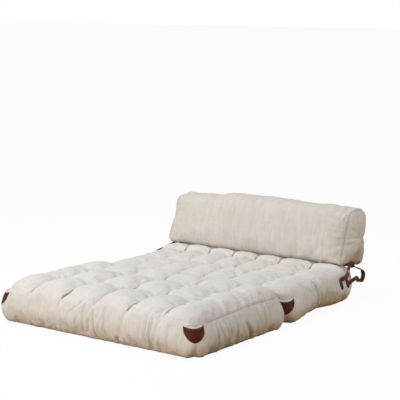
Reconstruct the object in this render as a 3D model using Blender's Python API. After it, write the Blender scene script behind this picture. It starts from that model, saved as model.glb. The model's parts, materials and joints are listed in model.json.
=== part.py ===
"""Two-section tufted futon mattress with a back bolster held by leather straps.

Frame: metres, +Z up, the floor at Z = 0. The bolster is towards +Y and the
front edge towards -Y. The origin is on the floor, under the middle of the
whole piece. The front section folds up about the seam between the sections,
and the bolster tips back about its lower rear edge.

Run with: blender --background --python part.py
"""

import math

import bmesh
import bpy
from mathutils import Vector

# ---------------------------------------------------------------- clearances
SEAT_GAP = 0.0003            # between two pieces that touch
HINGE_CLEARANCE = 0.0006     # between the fold line and the highest pillow

# ------------------------------------------------------------ mattress sizes
MATTRESS_WIDTH = 1.200
FRONT_DEPTH = 0.709
REAR_DEPTH = 0.667
CORNER_RADIUS = 0.070        # upright corners of a section, at its seams
SIDE_BULGE = 0.012           # how far a stuffed side swells past its seams
COVER_THICKNESS = 0.0025     # twill and its thin lining of felt
SEAM_LIP = 0.0020            # seam allowance standing out at the top seam
LIP_HEIGHT = 0.0040
FRONT_BAND_HEIGHT = 0.150    # top seam above the floor
REAR_BAND_HEIGHT = 0.137
FRONT_CROWN_HEIGHT = 0.219   # highest pillow above the floor
REAR_CROWN_HEIGHT = 0.200
EDGE_ROLL = 0.120            # how far in from its seam a top is still rounding over
FRONT_COLUMNS = (0.200, 0.200, 0.200, 0.200, 0.200, 0.200)
REAR_COLUMNS = (0.190, 0.160, 0.155, 0.150, 0.150, 0.195, 0.200)
FRONT_ROWS = (0.245, 0.236, 0.228)
REAR_ROWS = (0.300, 0.232, 0.135)
SEAM_DIP = 0.34              # depth of a seam, as a share of the top's rise
ROW_DIP = 0.13               # depth of a tuft row between two seams
TUFT_DIP = 0.16              # extra depth at a tuft
TUFT_REACH = 0.034           # how wide a tuft pulls its dimple
TUFT_FLAT = 0.008            # half the flat patch under a tuft
TUFT_RADIUS = 0.006
TUFT_HEIGHT = 0.0040

# ------------------------------------------------------------- hinge gusset
GUSSET_THICKNESS = 0.0012
GUSSET_DROP = 0.044          # how deep the folded gusset hangs in the crease
GUSSET_MIDDLE = 0.0006       # air between its two legs

# ------------------------------------------------------------- bolster sizes
BOLSTER_END_INSET = 0.060    # each end panel, in from the mattress's side
BOLSTER_SEAT_HEIGHT = 0.191  # where its weight presses the rear section flat
BOLSTER_HEIGHT = 0.288
BOLSTER_FRONT_INSET = 0.122  # lower front edge, in from the mattress's rear edge
BOLSTER_BASE_DEPTH = 0.187
BOLSTER_TOP_DEPTH = 0.141
BOLSTER_LEAN = 0.118         # how far the front face leans back
BOLSTER_FRONT_ROUND = 0.022
BOLSTER_TOP_ROUND = 0.040
BOLSTER_FACE_PUFF = 0.010
BOLSTER_COVER = 0.0020
BOLSTER_END_TAPER = 0.035    # how much the cover draws in at the end seams
END_PANEL_THICKNESS = 0.0030

# ------------------------------------------------------------- leather sizes
LEATHER = 0.0026
PATCH_TIP_DROP = 0.003       # upper tips of a corner patch, under the top seam
PATCH_WIDTH = 0.112          # across the corner, from tip to tip
PATCH_HEIGHT = 0.088
PATCH_NOTCH = 0.014          # hollow of the patch's upper edge
PATCH_MARGIN = 0.006         # leather blank left round the outline before trimming
STRAP_WIDTH = 0.022
STRAP_THICKNESS = 0.0030
TAB_WIDTH = 0.026
TAB_HEIGHT = 0.046
TAB_TOP = 0.135              # top of the tabs above the floor
FRONT_TAB_INSET = 0.165      # centre of the front tab, in from the rear edge
REAR_TAB_INSET = 0.107
KEEPER_LENGTH = 0.110
KEEPER_WIDTH = 0.014
KEEPER_FOOT = 0.014          # stitched flat at each end
KEEPER_RAMP = 0.010
KEEPER_STANDOFF = 0.0070     # room behind the keeper for the strap
STRAP_SLACK = 0.0013         # air between the strap and the keeper
KEEPER_INSET = 0.005         # keeper's middle, in from the mattress's rear edge
KEEPER_HEIGHT = 0.022        # keeper's middle above the bolster's seat

# -------------------------------------------------------------- mesh density
CORNER_SEGMENTS = 8
EDGE_SPLITS = 3
INNER_SPLITS = 4
BAND_ROWS = 6
STRAP_SAMPLES = 3
CURVE_STEPS = 7

# ------------------------------------------------------------ derived places
GUSSET_GAP = 2 * (SEAT_GAP + GUSSET_THICKNESS) + GUSSET_MIDDLE
STRAP_LOOP_REACH = 0.152     # slack strap behind the mattress's rear edge
BOLSTER_LENGTH = MATTRESS_WIDTH - 2 * BOLSTER_END_INSET
OVERALL_DEPTH = FRONT_DEPTH + GUSSET_GAP + REAR_DEPTH + STRAP_LOOP_REACH
FRONT_EDGE_Y = -OVERALL_DEPTH / 2
FOLD_Y = FRONT_EDGE_Y + FRONT_DEPTH + GUSSET_GAP / 2
REAR_EDGE_Y = FOLD_Y + GUSSET_GAP / 2 + REAR_DEPTH
FOLD_Z = max(FRONT_CROWN_HEIGHT, REAR_CROWN_HEIGHT) + HINGE_CLEARANCE
FOLD_AXIS = Vector((0.0, FOLD_Y, FOLD_Z))
BOLSTER_FRONT_Y = REAR_EDGE_Y - BOLSTER_FRONT_INSET
BOLSTER_BASE_Z = BOLSTER_SEAT_HEIGHT + SEAT_GAP
TILT_AXIS = Vector((0.0, BOLSTER_FRONT_Y + BOLSTER_BASE_DEPTH, BOLSTER_BASE_Z))

# ------------------------------------------------------------------- colours
COLOURS = {
    "linen": ((0.73, 0.69, 0.63), 0.92),
    "linen_shade": ((0.60, 0.55, 0.48), 0.92),
    "filling": ((0.84, 0.82, 0.77), 0.97),
    "twine": ((0.36, 0.30, 0.23), 0.90),
    "leather": ((0.10, 0.035, 0.018), 0.55),
    "leather_edge": ((0.055, 0.022, 0.012), 0.62),
}


# ------------------------------------------------------------ scene plumbing
def clear_scene():
    """Remove every object of the scene that the script starts in."""
    for obj in list(bpy.data.objects):
        bpy.data.objects.remove(obj, do_unlink=True)


def make_material(name, finish):
    """Return a Principled BSDF material for one node."""
    colour, roughness = COLOURS[finish]
    material = bpy.data.materials.new(name)
    material.use_nodes = True
    shader = material.node_tree.nodes["Principled BSDF"]
    shader.inputs["Base Color"].default_value = (*colour, 1.0)
    shader.inputs["Roughness"].default_value = roughness
    shader.inputs["Metallic"].default_value = 0.0
    material.diffuse_color = (*colour, 1.0)
    return material


def make_empty(name, location, parent=None):
    """Return an empty that carries one body, standing on that body's axis."""
    empty = bpy.data.objects.new(name, None)
    empty.empty_display_size = 0.08
    bpy.context.scene.collection.objects.link(empty)
    empty.parent = parent
    empty.location = location - (parent.location if parent else Vector())
    return empty


def make_node(name, points, faces, finish, carrier, sharp_degrees=35.0):
    """Make one closed, outward-facing object from world points and faces."""
    mesh = bpy.data.meshes.new(name)
    mesh.from_pydata([tuple(p) for p in points], [], faces)
    form = bmesh.new()
    form.from_mesh(mesh)
    origin = carrier.matrix_world.translation
    bmesh.ops.translate(form, verts=form.verts, vec=-origin)
    bmesh.ops.recalc_face_normals(form, faces=form.faces)
    form.to_mesh(mesh)
    form.free()
    mesh.shade_smooth()
    mesh.set_sharp_from_angle(angle=math.radians(sharp_degrees))
    obj = bpy.data.objects.new(name, mesh)
    obj.data.materials.append(make_material(name + "_finish", finish))
    bpy.context.scene.collection.objects.link(obj)
    obj.parent = carrier
    return obj


# --------------------------------------------------------------- form makers
def ring_loft(rings, closed=False):
    """Join equal rings of points; cap the two ends, or close the loft on itself."""
    count = len(rings[0])
    points = [p for ring in rings for p in ring]
    faces = []
    steps = len(rings) if closed else len(rings) - 1
    for i in range(steps):
        low = i * count
        high = ((i + 1) % len(rings)) * count
        for j in range(count):
            k = (j + 1) % count
            faces.append((low + j, low + k, high + k, high + j))
    if not closed:
        faces.append(tuple(reversed(range(count))))
        faces.append(tuple(range(len(points) - count, len(points))))
    return points, faces


def slab(outer, inner):
    """Make a thin solid between two equal grids of points."""
    rows, columns = len(outer), len(outer[0])
    points = [p for row in outer for p in row] + [p for row in inner for p in row]
    under = rows * columns
    faces = []
    for i in range(rows - 1):
        for j in range(columns - 1):
            a = i * columns + j
            b, c, d = a + 1, a + columns + 1, a + columns
            faces.append((a, b, c, d))
            faces.append((under + d, under + c, under + b, under + a))
    rim = [j for j in range(columns)]
    rim += [i * columns + columns - 1 for i in range(1, rows)]
    rim += [(rows - 1) * columns + j for j in reversed(range(columns - 1))]
    rim += [i * columns for i in reversed(range(1, rows - 1))]
    for a, b in zip(rim, rim[1:] + rim[:1]):
        faces.append((b, a, under + a, under + b))
    return points, faces


def smooth_path(stations, samples):
    """Return Catmull-Rom positions and normals through hand-set stations."""
    padded = [stations[0]] + list(stations) + [stations[-1]]
    result = []
    for i in range(len(stations) - 1):
        p0, p1, p2, p3 = padded[i:i + 4]
        steps = samples + (1 if i == len(stations) - 2 else 0)
        for k in range(steps):
            t = k / samples
            weights = (
                -0.5 * t ** 3 + t ** 2 - 0.5 * t,
                1.5 * t ** 3 - 2.5 * t ** 2 + 1.0,
                -1.5 * t ** 3 + 2.0 * t ** 2 + 0.5 * t,
                0.5 * t ** 3 - 0.5 * t ** 2,
            )
            position, normal = Vector(), Vector()
            for weight, (place, facing) in zip(weights, (p0, p1, p2, p3)):
                position += weight * Vector(place)
                normal += weight * Vector(facing)
            result.append((position, normal.normalized()))
    return result


def ribbon(path, width, thickness):
    """Sweep a flat strip along a path of positions and facing normals."""
    rings = []
    for i, (position, facing) in enumerate(path):
        before = path[max(i - 1, 0)][0]
        after = path[min(i + 1, len(path) - 1)][0]
        along = (after - before).normalized()
        normal = (facing - facing.dot(along) * along).normalized()
        across = along.cross(normal) * (width / 2)
        rise = normal * (thickness / 2)
        rings.append([
            position - across - rise,
            position + across - rise,
            position + across + rise,
            position - across + rise,
        ])
    return ring_loft(rings)


# ---------------------------------------------------------- mattress section
class Section:
    """One stuffed section of the mattress, with its own seam loop and top."""

    def __init__(self, name, front_y, depth, band, crown, columns, rows):
        self.name = name
        self.depth = depth
        self.middle_y = front_y + depth / 2
        self.half_x = MATTRESS_WIDTH / 2 - SIDE_BULGE
        self.half_y = depth / 2 - SIDE_BULGE
        self.band = band
        self.crown = crown
        self.seam_x = self.lines(columns, MATTRESS_WIDTH)
        self.row_y = self.lines(rows, depth)
        self.levels = self.band_levels(COVER_THICKNESS + SEAT_GAP, band)

    @staticmethod
    def lines(shares, length):
        """Turn column widths or row depths into inner lines about the middle."""
        scale = length / sum(shares)
        place, result = -length / 2, []
        for share in shares[:-1]:
            place += share * scale
            result.append(place)
        return result

    # -- the upright side
    def swell(self, z):
        """How far the side stands outside the seam loop at height z."""
        s = min(max(z / self.band, 0.0), 1.0)
        return SIDE_BULGE * (1 - (2 * s - 1) ** 2)

    def band_levels(self, low, high):
        """Heights of the side's rows, from the bottom seam to the top one."""
        return [low + (high - low) * i / BAND_ROWS for i in range(BAND_ROWS + 1)]

    def ring(self, outset, z):
        """Return the rounded seam loop, moved outwards and lifted to z."""
        centre_x = self.half_x - CORNER_RADIUS
        centre_y = self.half_y - CORNER_RADIUS
        radius = CORNER_RADIUS + outset
        points = []
        for quarter, (sx, sy) in enumerate(((1, 1), (-1, 1), (-1, -1), (1, -1))):
            for i in range(CORNER_SEGMENTS + 1):
                angle = math.radians(90.0 * (quarter + i / CORNER_SEGMENTS))
                x = sx * centre_x + radius * math.cos(angle)
                y = sy * centre_y + radius * math.sin(angle) + self.middle_y
                points.append(Vector((x, y, z)))
        return points

    def corner_columns(self, corner):
        """Upright lines (foot and facing) of one corner and a little to each side."""
        sx, sy = corner
        centre_x = self.half_x - CORNER_RADIUS
        centre_y = self.half_y - CORNER_RADIUS
        columns = [((self.half_x, centre_y - PATCH_MARGIN), (1.0, 0.0))]
        for i in range(CORNER_SEGMENTS + 1):
            angle = math.radians(90.0 * i / CORNER_SEGMENTS)
            facing = (math.cos(angle), math.sin(angle))
            foot = (centre_x + CORNER_RADIUS * facing[0], centre_y + CORNER_RADIUS * facing[1])
            columns.append((foot, facing))
        columns.append(((centre_x - PATCH_MARGIN, self.half_y), (0.0, 1.0)))
        return [(Vector((sx * x, sy * y + self.middle_y, 0.0)), Vector((sx * u, sy * v, 0.0)))
                for (x, y), (u, v) in columns]

    def wall_shell(self, columns, low, high, lift):
        """A leather blank that follows the side's facets between two heights."""
        levels = [low] + [z for z in self.levels if low < z < high] + [high]
        grids = []
        for outset in (lift + LEATHER, lift):
            grids.append([[foot + facing * (self.row_swell(z) + outset) + Vector((0, 0, z))
                           for z in levels] for foot, facing in columns])
        return slab(*grids)

    def row_swell(self, z):
        """The swell of the faceted side, which runs straight between its rows."""
        for low, high in zip(self.levels, self.levels[1:]):
            if z <= high or high == self.levels[-1]:
                share = min(max((z - low) / (high - low), 0.0), 1.0)
                return self.swell(low) * (1 - share) + self.swell(high) * share
        return 0.0

    # -- the tufted top
    def inside(self, x, y):
        """Distance of a point of the top in from the top seam."""
        qx = abs(x) - (self.half_x - CORNER_RADIUS)
        qy = abs(y) - (self.half_y - CORNER_RADIUS)
        outside = math.hypot(max(qx, 0.0), max(qy, 0.0))
        return CORNER_RADIUS - outside - min(max(qx, qy), 0.0)

    def pillow(self, place, lines, length):
        """0 on a line and 1 midway between two, with a full rounded back."""
        ends = [-length / 2] + lines + [length / 2]
        for low, high in zip(ends, ends[1:]):
            if place <= high or high == ends[-1]:
                s = min(max((place - low) / (high - low), 0.0), 1.0)
                outer = (low == ends[0] and s < 0.5) or (high == ends[-1] and s > 0.5)
                if outer:
                    return 1.0
                return math.sqrt(1 - abs(2 * s - 1) ** 2.4)
        return 1.0

    def top_height(self, x, y):
        """Height of the tufted top at a place given about the section's middle."""
        for seam in self.seam_x:
            for row in self.row_y:
                if abs(x - seam) < TUFT_FLAT * 1.01 and abs(y - row) < TUFT_FLAT * 1.01:
                    x, y = seam, row
        edge = min(max(self.inside(x, y), 0.0) / EDGE_ROLL, 1.0)
        rise = math.sqrt(1 - (1 - edge) ** 2)
        across = self.pillow(x, self.seam_x, MATTRESS_WIDTH)
        along = self.pillow(y, self.row_y, self.depth)
        pull = 0.0
        for seam in self.seam_x:
            for row in self.row_y:
                r = math.hypot(x - seam, y - row) / TUFT_REACH
                pull = max(pull, math.exp(-r * r))
        share = 1 - SEAM_DIP * (1 - across) - ROW_DIP * (1 - along) - TUFT_DIP * pull
        base = self.band + SEAT_GAP + LIP_HEIGHT
        height = base + (self.crown - base) * rise * share
        return self.pressed(height, y)

    def pressed(self, height, y):
        """Flatten the top where the bolster stands on it."""
        if self.middle_y + y > BOLSTER_FRONT_Y:
            return min(height, BOLSTER_SEAT_HEIGHT)
        return height

    def grid_lines(self, lines, length):
        """Grid lines of the top: fine at the corners, seams and tufts."""
        half = length / 2 - SIDE_BULGE + SEAM_LIP
        block = CORNER_RADIUS + SEAM_LIP
        places = [-half + block * i / (CORNER_SEGMENTS / 2)
                  for i in range(CORNER_SEGMENTS // 2 + 1)]
        stops = [-half + block] + [p for line in lines
                                   for p in (line - TUFT_FLAT, line, line + TUFT_FLAT)]
        stops.append(half - block)
        for low, high in zip(stops, stops[1:]):
            if high - low < 1.5 * TUFT_FLAT:
                splits = 1
            elif low == stops[0] or high == stops[-1]:
                splits = EDGE_SPLITS
            else:
                splits = INNER_SPLITS
            places += [low + (high - low) * i / splits for i in range(1, splits + 1)]
        places += [half - block + block * i / (CORNER_SEGMENTS / 2)
                   for i in range(1, CORNER_SEGMENTS // 2 + 1)]
        return places

    def rounded_place(self, x, y):
        """Move a place of the square grid into the rounded outline of the top."""
        block = CORNER_RADIUS + SEAM_LIP
        inner_x = self.half_x + SEAM_LIP - block
        inner_y = self.half_y + SEAM_LIP - block
        if abs(x) <= inner_x or abs(y) <= inner_y:
            return x, y
        a = (abs(x) - inner_x) / block
        b = (abs(y) - inner_y) / block
        round_x = inner_x + block * a * math.sqrt(1 - b * b / 2)
        round_y = inner_y + block * b * math.sqrt(1 - a * a / 2)
        return math.copysign(round_x, x), math.copysign(round_y, y)

    def tufted_top(self):
        """The quilted top panel: pillows above, flat where it meets the core."""
        xs = self.grid_lines(self.seam_x, MATTRESS_WIDTH)
        ys = self.grid_lines(self.row_y, self.depth)
        upper, lower = [], []
        for y in ys:
            upper_row, lower_row = [], []
            for x in xs:
                px, py = self.rounded_place(x, y)
                place = Vector((px, py + self.middle_y, 0.0))
                upper_row.append(place + Vector((0, 0, self.top_height(px, py))))
                lower_row.append(place + Vector((0, 0, self.band + SEAT_GAP)))
            upper.append(upper_row)
            lower.append(lower_row)
        return self.flat_backed(upper, lower)

    @staticmethod
    def flat_backed(upper, lower):
        """Close a grid with an upright rim and one flat face beneath."""
        rows, columns = len(upper), len(upper[0])
        points = [p for row in upper for p in row]
        faces = []
        for i in range(rows - 1):
            for j in range(columns - 1):
                a = i * columns + j
                faces.append((a, a + 1, a + columns + 1, a + columns))
        rim = [(0, j) for j in range(columns)]
        rim += [(i, columns - 1) for i in range(1, rows)]
        rim += [(rows - 1, j) for j in reversed(range(columns - 1))]
        rim += [(i, 0) for i in reversed(range(1, rows - 1))]
        start = len(points)
        points += [lower[i][j] for i, j in rim]
        count = len(rim)
        for k in range(count):
            m = (k + 1) % count
            a = rim[k][0] * columns + rim[k][1]
            b = rim[m][0] * columns + rim[m][1]
            faces.append((b, a, start + k, start + m))
        faces.append(tuple(start + k for k in reversed(range(count))))
        return points, faces

    # -- the pieces
    def core(self):
        """The stuffing, a swelling block under the tufted top."""
        inset = COVER_THICKNESS + SEAT_GAP
        return ring_loft([self.ring(self.swell(z) - inset, z) for z in self.levels])

    def side_band(self):
        """The boxing strip that runs round the core."""
        outer = [self.ring(self.swell(z), z) for z in self.levels]
        inner = [self.ring(self.swell(z) - COVER_THICKNESS, z) for z in reversed(self.levels)]
        return ring_loft(outer + inner, closed=True)

    def bottom_panel(self):
        """The flat panel that lies on the floor."""
        return ring_loft([self.ring(0.0, 0.0), self.ring(0.0, COVER_THICKNESS)])

    def tuft(self, seam, row):
        """One twine tuft, seated in its dimple."""
        z = self.top_height(seam, row) + SEAT_GAP
        rings = []
        for level, share in ((0.0, 1.0), (0.6, 1.0), (1.0, 0.6)):
            ring = []
            for i in range(8):
                angle = math.tau * i / 8
                x = seam + TUFT_RADIUS * share * math.cos(angle)
                y = row + self.middle_y + TUFT_RADIUS * share * math.sin(angle)
                ring.append(Vector((x, y, z + TUFT_HEIGHT * level)))
            rings.append(ring)
        return ring_loft(rings)

    def corner_patch(self, name, corner, carrier):
        """The leather patch on one upright corner, hollow above, pointed below."""
        tip = self.band - PATCH_TIP_DROP
        low = tip - PATCH_HEIGHT - PATCH_MARGIN
        blank = self.wall_shell(self.corner_columns(corner), low, tip + 0.0001, SEAT_GAP)
        patch = make_node(name, *blank, "leather", carrier)
        sx, sy = corner
        facing = Vector((sx, sy, 0.0)).normalized()
        across = Vector((-facing.y, facing.x, 0.0))
        middle = Vector((sx * (self.half_x - CORNER_RADIUS),
                         sy * (self.half_y - CORNER_RADIUS) + self.middle_y, tip))
        half = PATCH_WIDTH / 2
        outline = []
        for i in range(CURVE_STEPS + 1):
            u = -1 + 2 * i / CURVE_STEPS
            outline.append((u * half, -PATCH_NOTCH * (1 - u * u)))
        for side in (1, -1):
            flank = []
            for i in range(1, CURVE_STEPS + 1):
                t = i / CURVE_STEPS
                u = (1 - t) ** 2 + 2 * t * (1 - t)
                drop = 2 * t * (1 - t) * 0.70 + t * t
                flank.append((side * u * half, -drop * PATCH_HEIGHT))
            outline += flank if side > 0 else list(reversed(flank[:-1]))
        trim_to_outline(patch, outline, middle, across, facing, 2 * CORNER_RADIUS, carrier)

    def side_tab(self, name, side, inset, carrier):
        """A round-ended leather tab on the flat of the side, under the strap's end."""
        half = TAB_WIDTH / 2
        y = REAR_EDGE_Y - inset
        facing = Vector((side, 0.0, 0.0))
        columns = [(Vector((side * self.half_x, y + side * place, 0.0)), facing)
                   for place in (-half - PATCH_MARGIN, half + PATCH_MARGIN)]
        low = TAB_TOP - TAB_HEIGHT - PATCH_MARGIN
        blank = self.wall_shell(columns, low, TAB_TOP, SEAT_GAP)
        tab = make_node(name, *blank, "leather_edge", carrier)
        outline = [(-half, PATCH_MARGIN), (half, PATCH_MARGIN)]
        for i in range(CURVE_STEPS + 1):
            angle = math.pi * i / CURVE_STEPS
            outline.append((half * math.cos(angle),
                            half - TAB_HEIGHT - half * math.sin(angle)))
        middle = Vector((side * self.half_x, y, TAB_TOP))
        across = Vector((0.0, 1.0, 0.0))
        trim_to_outline(tab, outline, middle, across, facing, CORNER_RADIUS, carrier)


def trim_to_outline(blank, outline, middle, across, facing, reach, carrier):
    """Cut a leather blank to an outline drawn on the plane that faces it."""
    up = Vector((0.0, 0.0, 1.0))
    rings = []
    for depth in (-reach, reach):
        rings.append([middle + across * u + up * v + facing * depth for u, v in outline])
    cutter = make_node(blank.name + "_outline", *ring_loft(rings), "leather", carrier)
    cutter.hide_render = True
    cutter.display_type = "WIRE"
    trim = blank.modifiers.new("outline", "BOOLEAN")
    trim.operation = "INTERSECT"
    trim.solver = "EXACT"
    trim.object = cutter


# -------------------------------------------------------------- hinge gusset
def hinge_gusset(front, rear):
    """The folded strip between the sections, sewn to both top seams."""
    bottom = min(front.band, rear.band) - GUSSET_DROP
    fold = bottom + GUSSET_THICKNESS
    legs = []
    for section, side in ((front, -1), (rear, 1)):
        top = section.band
        outer, inner = [], []
        for z in [top] + [z for z in reversed(section.levels) if bottom < z < top] + [bottom]:
            wall = GUSSET_GAP / 2 + SIDE_BULGE - section.row_swell(z) - SEAT_GAP
            outer.append((FOLD_Y + side * wall, z))
            if z > fold:
                inner.append((FOLD_Y + side * (wall - GUSSET_THICKNESS), z))
        wall = GUSSET_GAP / 2 + SIDE_BULGE - section.row_swell(fold) - SEAT_GAP
        inner.append((FOLD_Y + side * (wall - GUSSET_THICKNESS), fold))
        legs.append((outer, inner))
    (front_out, front_in), (rear_out, rear_in) = legs
    outline = front_out + list(reversed(rear_out)) + rear_in + list(reversed(front_in))
    patch_end = CORNER_RADIUS + PATCH_MARGIN + LEATHER
    half = MATTRESS_WIDTH / 2 - SIDE_BULGE - patch_end
    return ring_loft([[Vector((x, y, z)) for y, z in outline] for x in (-half, half)])


# ------------------------------------------------------------------- bolster
def bolster_corners():
    """Corner places (y, z) and rounding radii of the bolster's cross-section."""
    front = BOLSTER_FRONT_Y
    rear = BOLSTER_FRONT_Y + BOLSTER_BASE_DEPTH
    top = BOLSTER_BASE_Z + BOLSTER_HEIGHT
    top_front = front + BOLSTER_LEAN
    return (
        (Vector((front, BOLSTER_BASE_Z)), BOLSTER_FRONT_ROUND),
        (Vector((rear, BOLSTER_BASE_Z)), BOLSTER_FRONT_ROUND),
        (Vector((top_front + BOLSTER_TOP_DEPTH, top)), BOLSTER_TOP_ROUND),
        (Vector((top_front, top)), BOLSTER_TOP_ROUND),
    )


def bolster_outline(inset):
    """The bolster's rounded, puffed cross-section, drawn in by an inset."""
    corners = bolster_corners()
    count = len(corners)
    arcs = []
    for i, (corner, radius) in enumerate(corners):
        before = (corners[i - 1][0] - corner).normalized()
        after = (corners[(i + 1) % count][0] - corner).normalized()
        half_angle = math.acos(max(-1.0, min(1.0, before.dot(after)))) / 2
        reach = radius / math.tan(half_angle)
        start = corner + before * reach
        centre = corner + (before + after).normalized() * (radius / math.sin(half_angle))
        turn = math.pi - 2 * half_angle
        arm = start - centre
        arc = []
        for k in range(5):
            angle = turn * k / 4
            spin = Vector((
                arm.x * math.cos(angle) - arm.y * math.sin(angle),
                arm.x * math.sin(angle) + arm.y * math.cos(angle),
            ))
            arc.append(centre + spin * ((radius - inset) / radius))
        arcs.append(arc)
    outline = []
    for i, arc in enumerate(arcs):
        outline += arc
        end, begin = arc[-1], arcs[(i + 1) % count][0]
        along = (begin - end).normalized()
        outward = Vector((along.y, -along.x))
        flat_base = i == 0
        for k in (1, 2, 3):
            s = k / 4
            puff = 0.0 if flat_base else BOLSTER_FACE_PUFF * 4 * s * (1 - s)
            outline.append(end.lerp(begin, s) + outward * puff)
    return outline


def bolster_rings(inset, end_inset):
    """Cross-sections along the bolster, drawn in towards the end seams."""
    outline = bolster_outline(inset)
    anchor = Vector((BOLSTER_FRONT_Y + (BOLSTER_BASE_DEPTH + BOLSTER_LEAN) / 2,
                     BOLSTER_BASE_Z + inset))
    half = BOLSTER_LENGTH / 2 - end_inset
    rings = []
    for share in (-1.0, -0.975, -0.93, -0.80, -0.45, 0.0, 0.45, 0.80, 0.93, 0.975, 1.0):
        draw = 1 - BOLSTER_END_TAPER * abs(share) ** 14
        ring = []
        for place in outline:
            y, z = anchor + (place - anchor) * draw
            ring.append(Vector((share * half, y, z)))
        rings.append(ring)
    return rings


def bolster_wrap():
    """The bolster's cover, one panel sewn into a tube."""
    end = END_PANEL_THICKNESS + SEAT_GAP
    outer = bolster_rings(0.0, end)
    inner = bolster_rings(BOLSTER_COVER, end)
    return ring_loft(outer + list(reversed(inner)), closed=True)


def bolster_core():
    """The bolster's filling."""
    inset = BOLSTER_COVER + SEAT_GAP
    return ring_loft(bolster_rings(inset, END_PANEL_THICKNESS + SEAT_GAP))


def bolster_end(side):
    """The end panel, flat against the open end of the cover."""
    end = END_PANEL_THICKNESS + SEAT_GAP
    ring = bolster_rings(0.0, end)[-1 if side > 0 else 0]
    rings = []
    for x in (BOLSTER_LENGTH / 2 - END_PANEL_THICKNESS, BOLSTER_LENGTH / 2):
        rings.append([Vector((side * x, p.y, p.z)) for p in ring])
    return ring_loft(rings)


# ------------------------------------------------------------ straps, keeper
def keeper_frame():
    """Middle of the keeper (y, z) on the bolster's end."""
    return REAR_EDGE_Y - KEEPER_INSET, BOLSTER_BASE_Z + KEEPER_HEIGHT


def keeper(side):
    """The leather loop on the bolster's end that the strap is slung through."""
    y, z = keeper_frame()
    face = BOLSTER_LENGTH / 2 + SEAT_GAP + LEATHER / 2
    half = KEEPER_LENGTH / 2
    outward = Vector((side, 0.0, 0.0))
    marks = (
        (-half, 0.0), (-half + KEEPER_FOOT, 0.0),
        (-half + KEEPER_FOOT + KEEPER_RAMP, KEEPER_STANDOFF),
        (0.0, KEEPER_STANDOFF),
        (half - KEEPER_FOOT - KEEPER_RAMP, KEEPER_STANDOFF),
        (half - KEEPER_FOOT, 0.0), (half, 0.0),
    )
    path = [(Vector((side * (face + lift), y + place, z)), outward)
            for place, lift in marks]
    return ribbon(path, KEEPER_WIDTH, LEATHER)


def strap(side, rear):
    """The strap: up from its front tab, over the keeper, and back in a slack curl."""
    y, z = keeper_frame()
    half = STRAP_THICKNESS / 2
    edge = REAR_EDGE_Y
    face = rear.half_x + 3 * SEAT_GAP + LEATHER + half
    bar = BOLSTER_LENGTH / 2 + SEAT_GAP + LEATHER / 2 + KEEPER_STANDOFF
    outside = bar + LEATHER / 2 + half + STRAP_SLACK
    behind = bar - LEATHER / 2 - half - STRAP_SLACK
    shoulder = z + KEEPER_WIDTH / 2
    over = shoulder + half + STRAP_SLACK
    front_y = edge - FRONT_TAB_INSET
    rear_y = edge - REAR_TAB_INSET
    below, mid, above = rear.levels[-3:]
    lay = face + rear.row_swell(mid)
    slope = (rear.row_swell(below) - rear.row_swell(above)) / (above - below)
    flat = (1.0, 0.0, slope)
    stations = (
        ((face + rear.row_swell(TAB_TOP - 0.016), front_y, TAB_TOP - 0.016), (1, 0, 0)),
        ((face + rear.row_swell(TAB_TOP - 0.006), front_y, TAB_TOP - 0.006), (1, 0, 0.1)),
        ((face + 0.003, front_y + 0.003, TAB_TOP + 0.005), (1, 0, 0.2)),
        ((face + 0.006, front_y + 0.022, TAB_TOP + 0.022), (1, 0, 0.3)),
        ((face - 0.004, front_y + 0.060, z - 0.042), (1, 0, 0.4)),
        ((face - 0.018, front_y + 0.100, z - 0.024), (1, 0, 0.4)),
        ((outside + 0.008, y - 0.028, z - 0.010), (1, 0, 0.35)),
        ((outside, y - 0.004, z + 0.002), (1, 0, 0.1)),
        ((outside, y - 0.001, shoulder - 0.001), (1, 0, 0.1)),
        ((bar, y, over + 0.0010), (0, 0, 1)),
        ((behind, y + 0.001, shoulder - 0.001), (-1, 0, 0.1)),
        ((behind, y + 0.003, z + 0.002), (-1, 0, 0)),
        ((behind + 0.0002, y + 0.008, z - 0.008), (-1, 0, 0)),
        ((behind + 0.001, y + 0.016, z - 0.018), (-1, 0.1, 0.1)),
        ((face - 0.044, edge + 0.038, z - 0.028), (-0.5, 0.3, 0.8)),
        ((face - 0.026, edge + 0.082, 0.172), (0, 0.3, 1)),
        ((face - 0.012, edge + 0.128, 0.152), (0, 0.7, 0.7)),
        ((face - 0.004, edge + STRAP_LOOP_REACH - half, 0.114), (0, 1, 0)),
        ((face + 0.002, edge + 0.116, 0.080), (0, 0.3, -1)),
        ((face + 0.010, edge + 0.040, 0.082), (0.5, 0, -0.8)),
        ((face + 0.016, edge - 0.030, 0.096), (1, 0, -0.2)),
        ((lay + 0.0080, edge - 0.062, 0.108), (1, 0, 0.1)),
        ((lay + 0.0020, rear_y + 0.020, mid), flat),
        ((lay + 0.0004, rear_y + 0.006, mid), flat),
        ((lay + 0.0004, rear_y - 0.008, mid), flat),
    )
    mirrored = [((side * p[0], p[1], p[2]), (side * n[0], n[1], n[2])) for p, n in stations]
    return ribbon(smooth_path(mirrored, STRAP_SAMPLES), STRAP_WIDTH, STRAP_THICKNESS)


# --------------------------------------------------------------- the product
def build_section(section, carrier):
    """Make the pieces that both sections have."""
    name = section.name
    make_node(name + "_filling", *section.core(), "filling", carrier)
    make_node(name + "_tufted_top", *section.tufted_top(), "linen", carrier, 60.0)
    make_node(name + "_side_band", *section.side_band(), "linen", carrier)
    make_node(name + "_bottom_panel", *section.bottom_panel(), "linen_shade", carrier)
    for i, row in enumerate(section.row_y, start=1):
        for j, seam in enumerate(section.seam_x, start=1):
            make_node(f"{name}_tuft_{i}_{j}", *section.tuft(seam, row), "twine", carrier)


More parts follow.
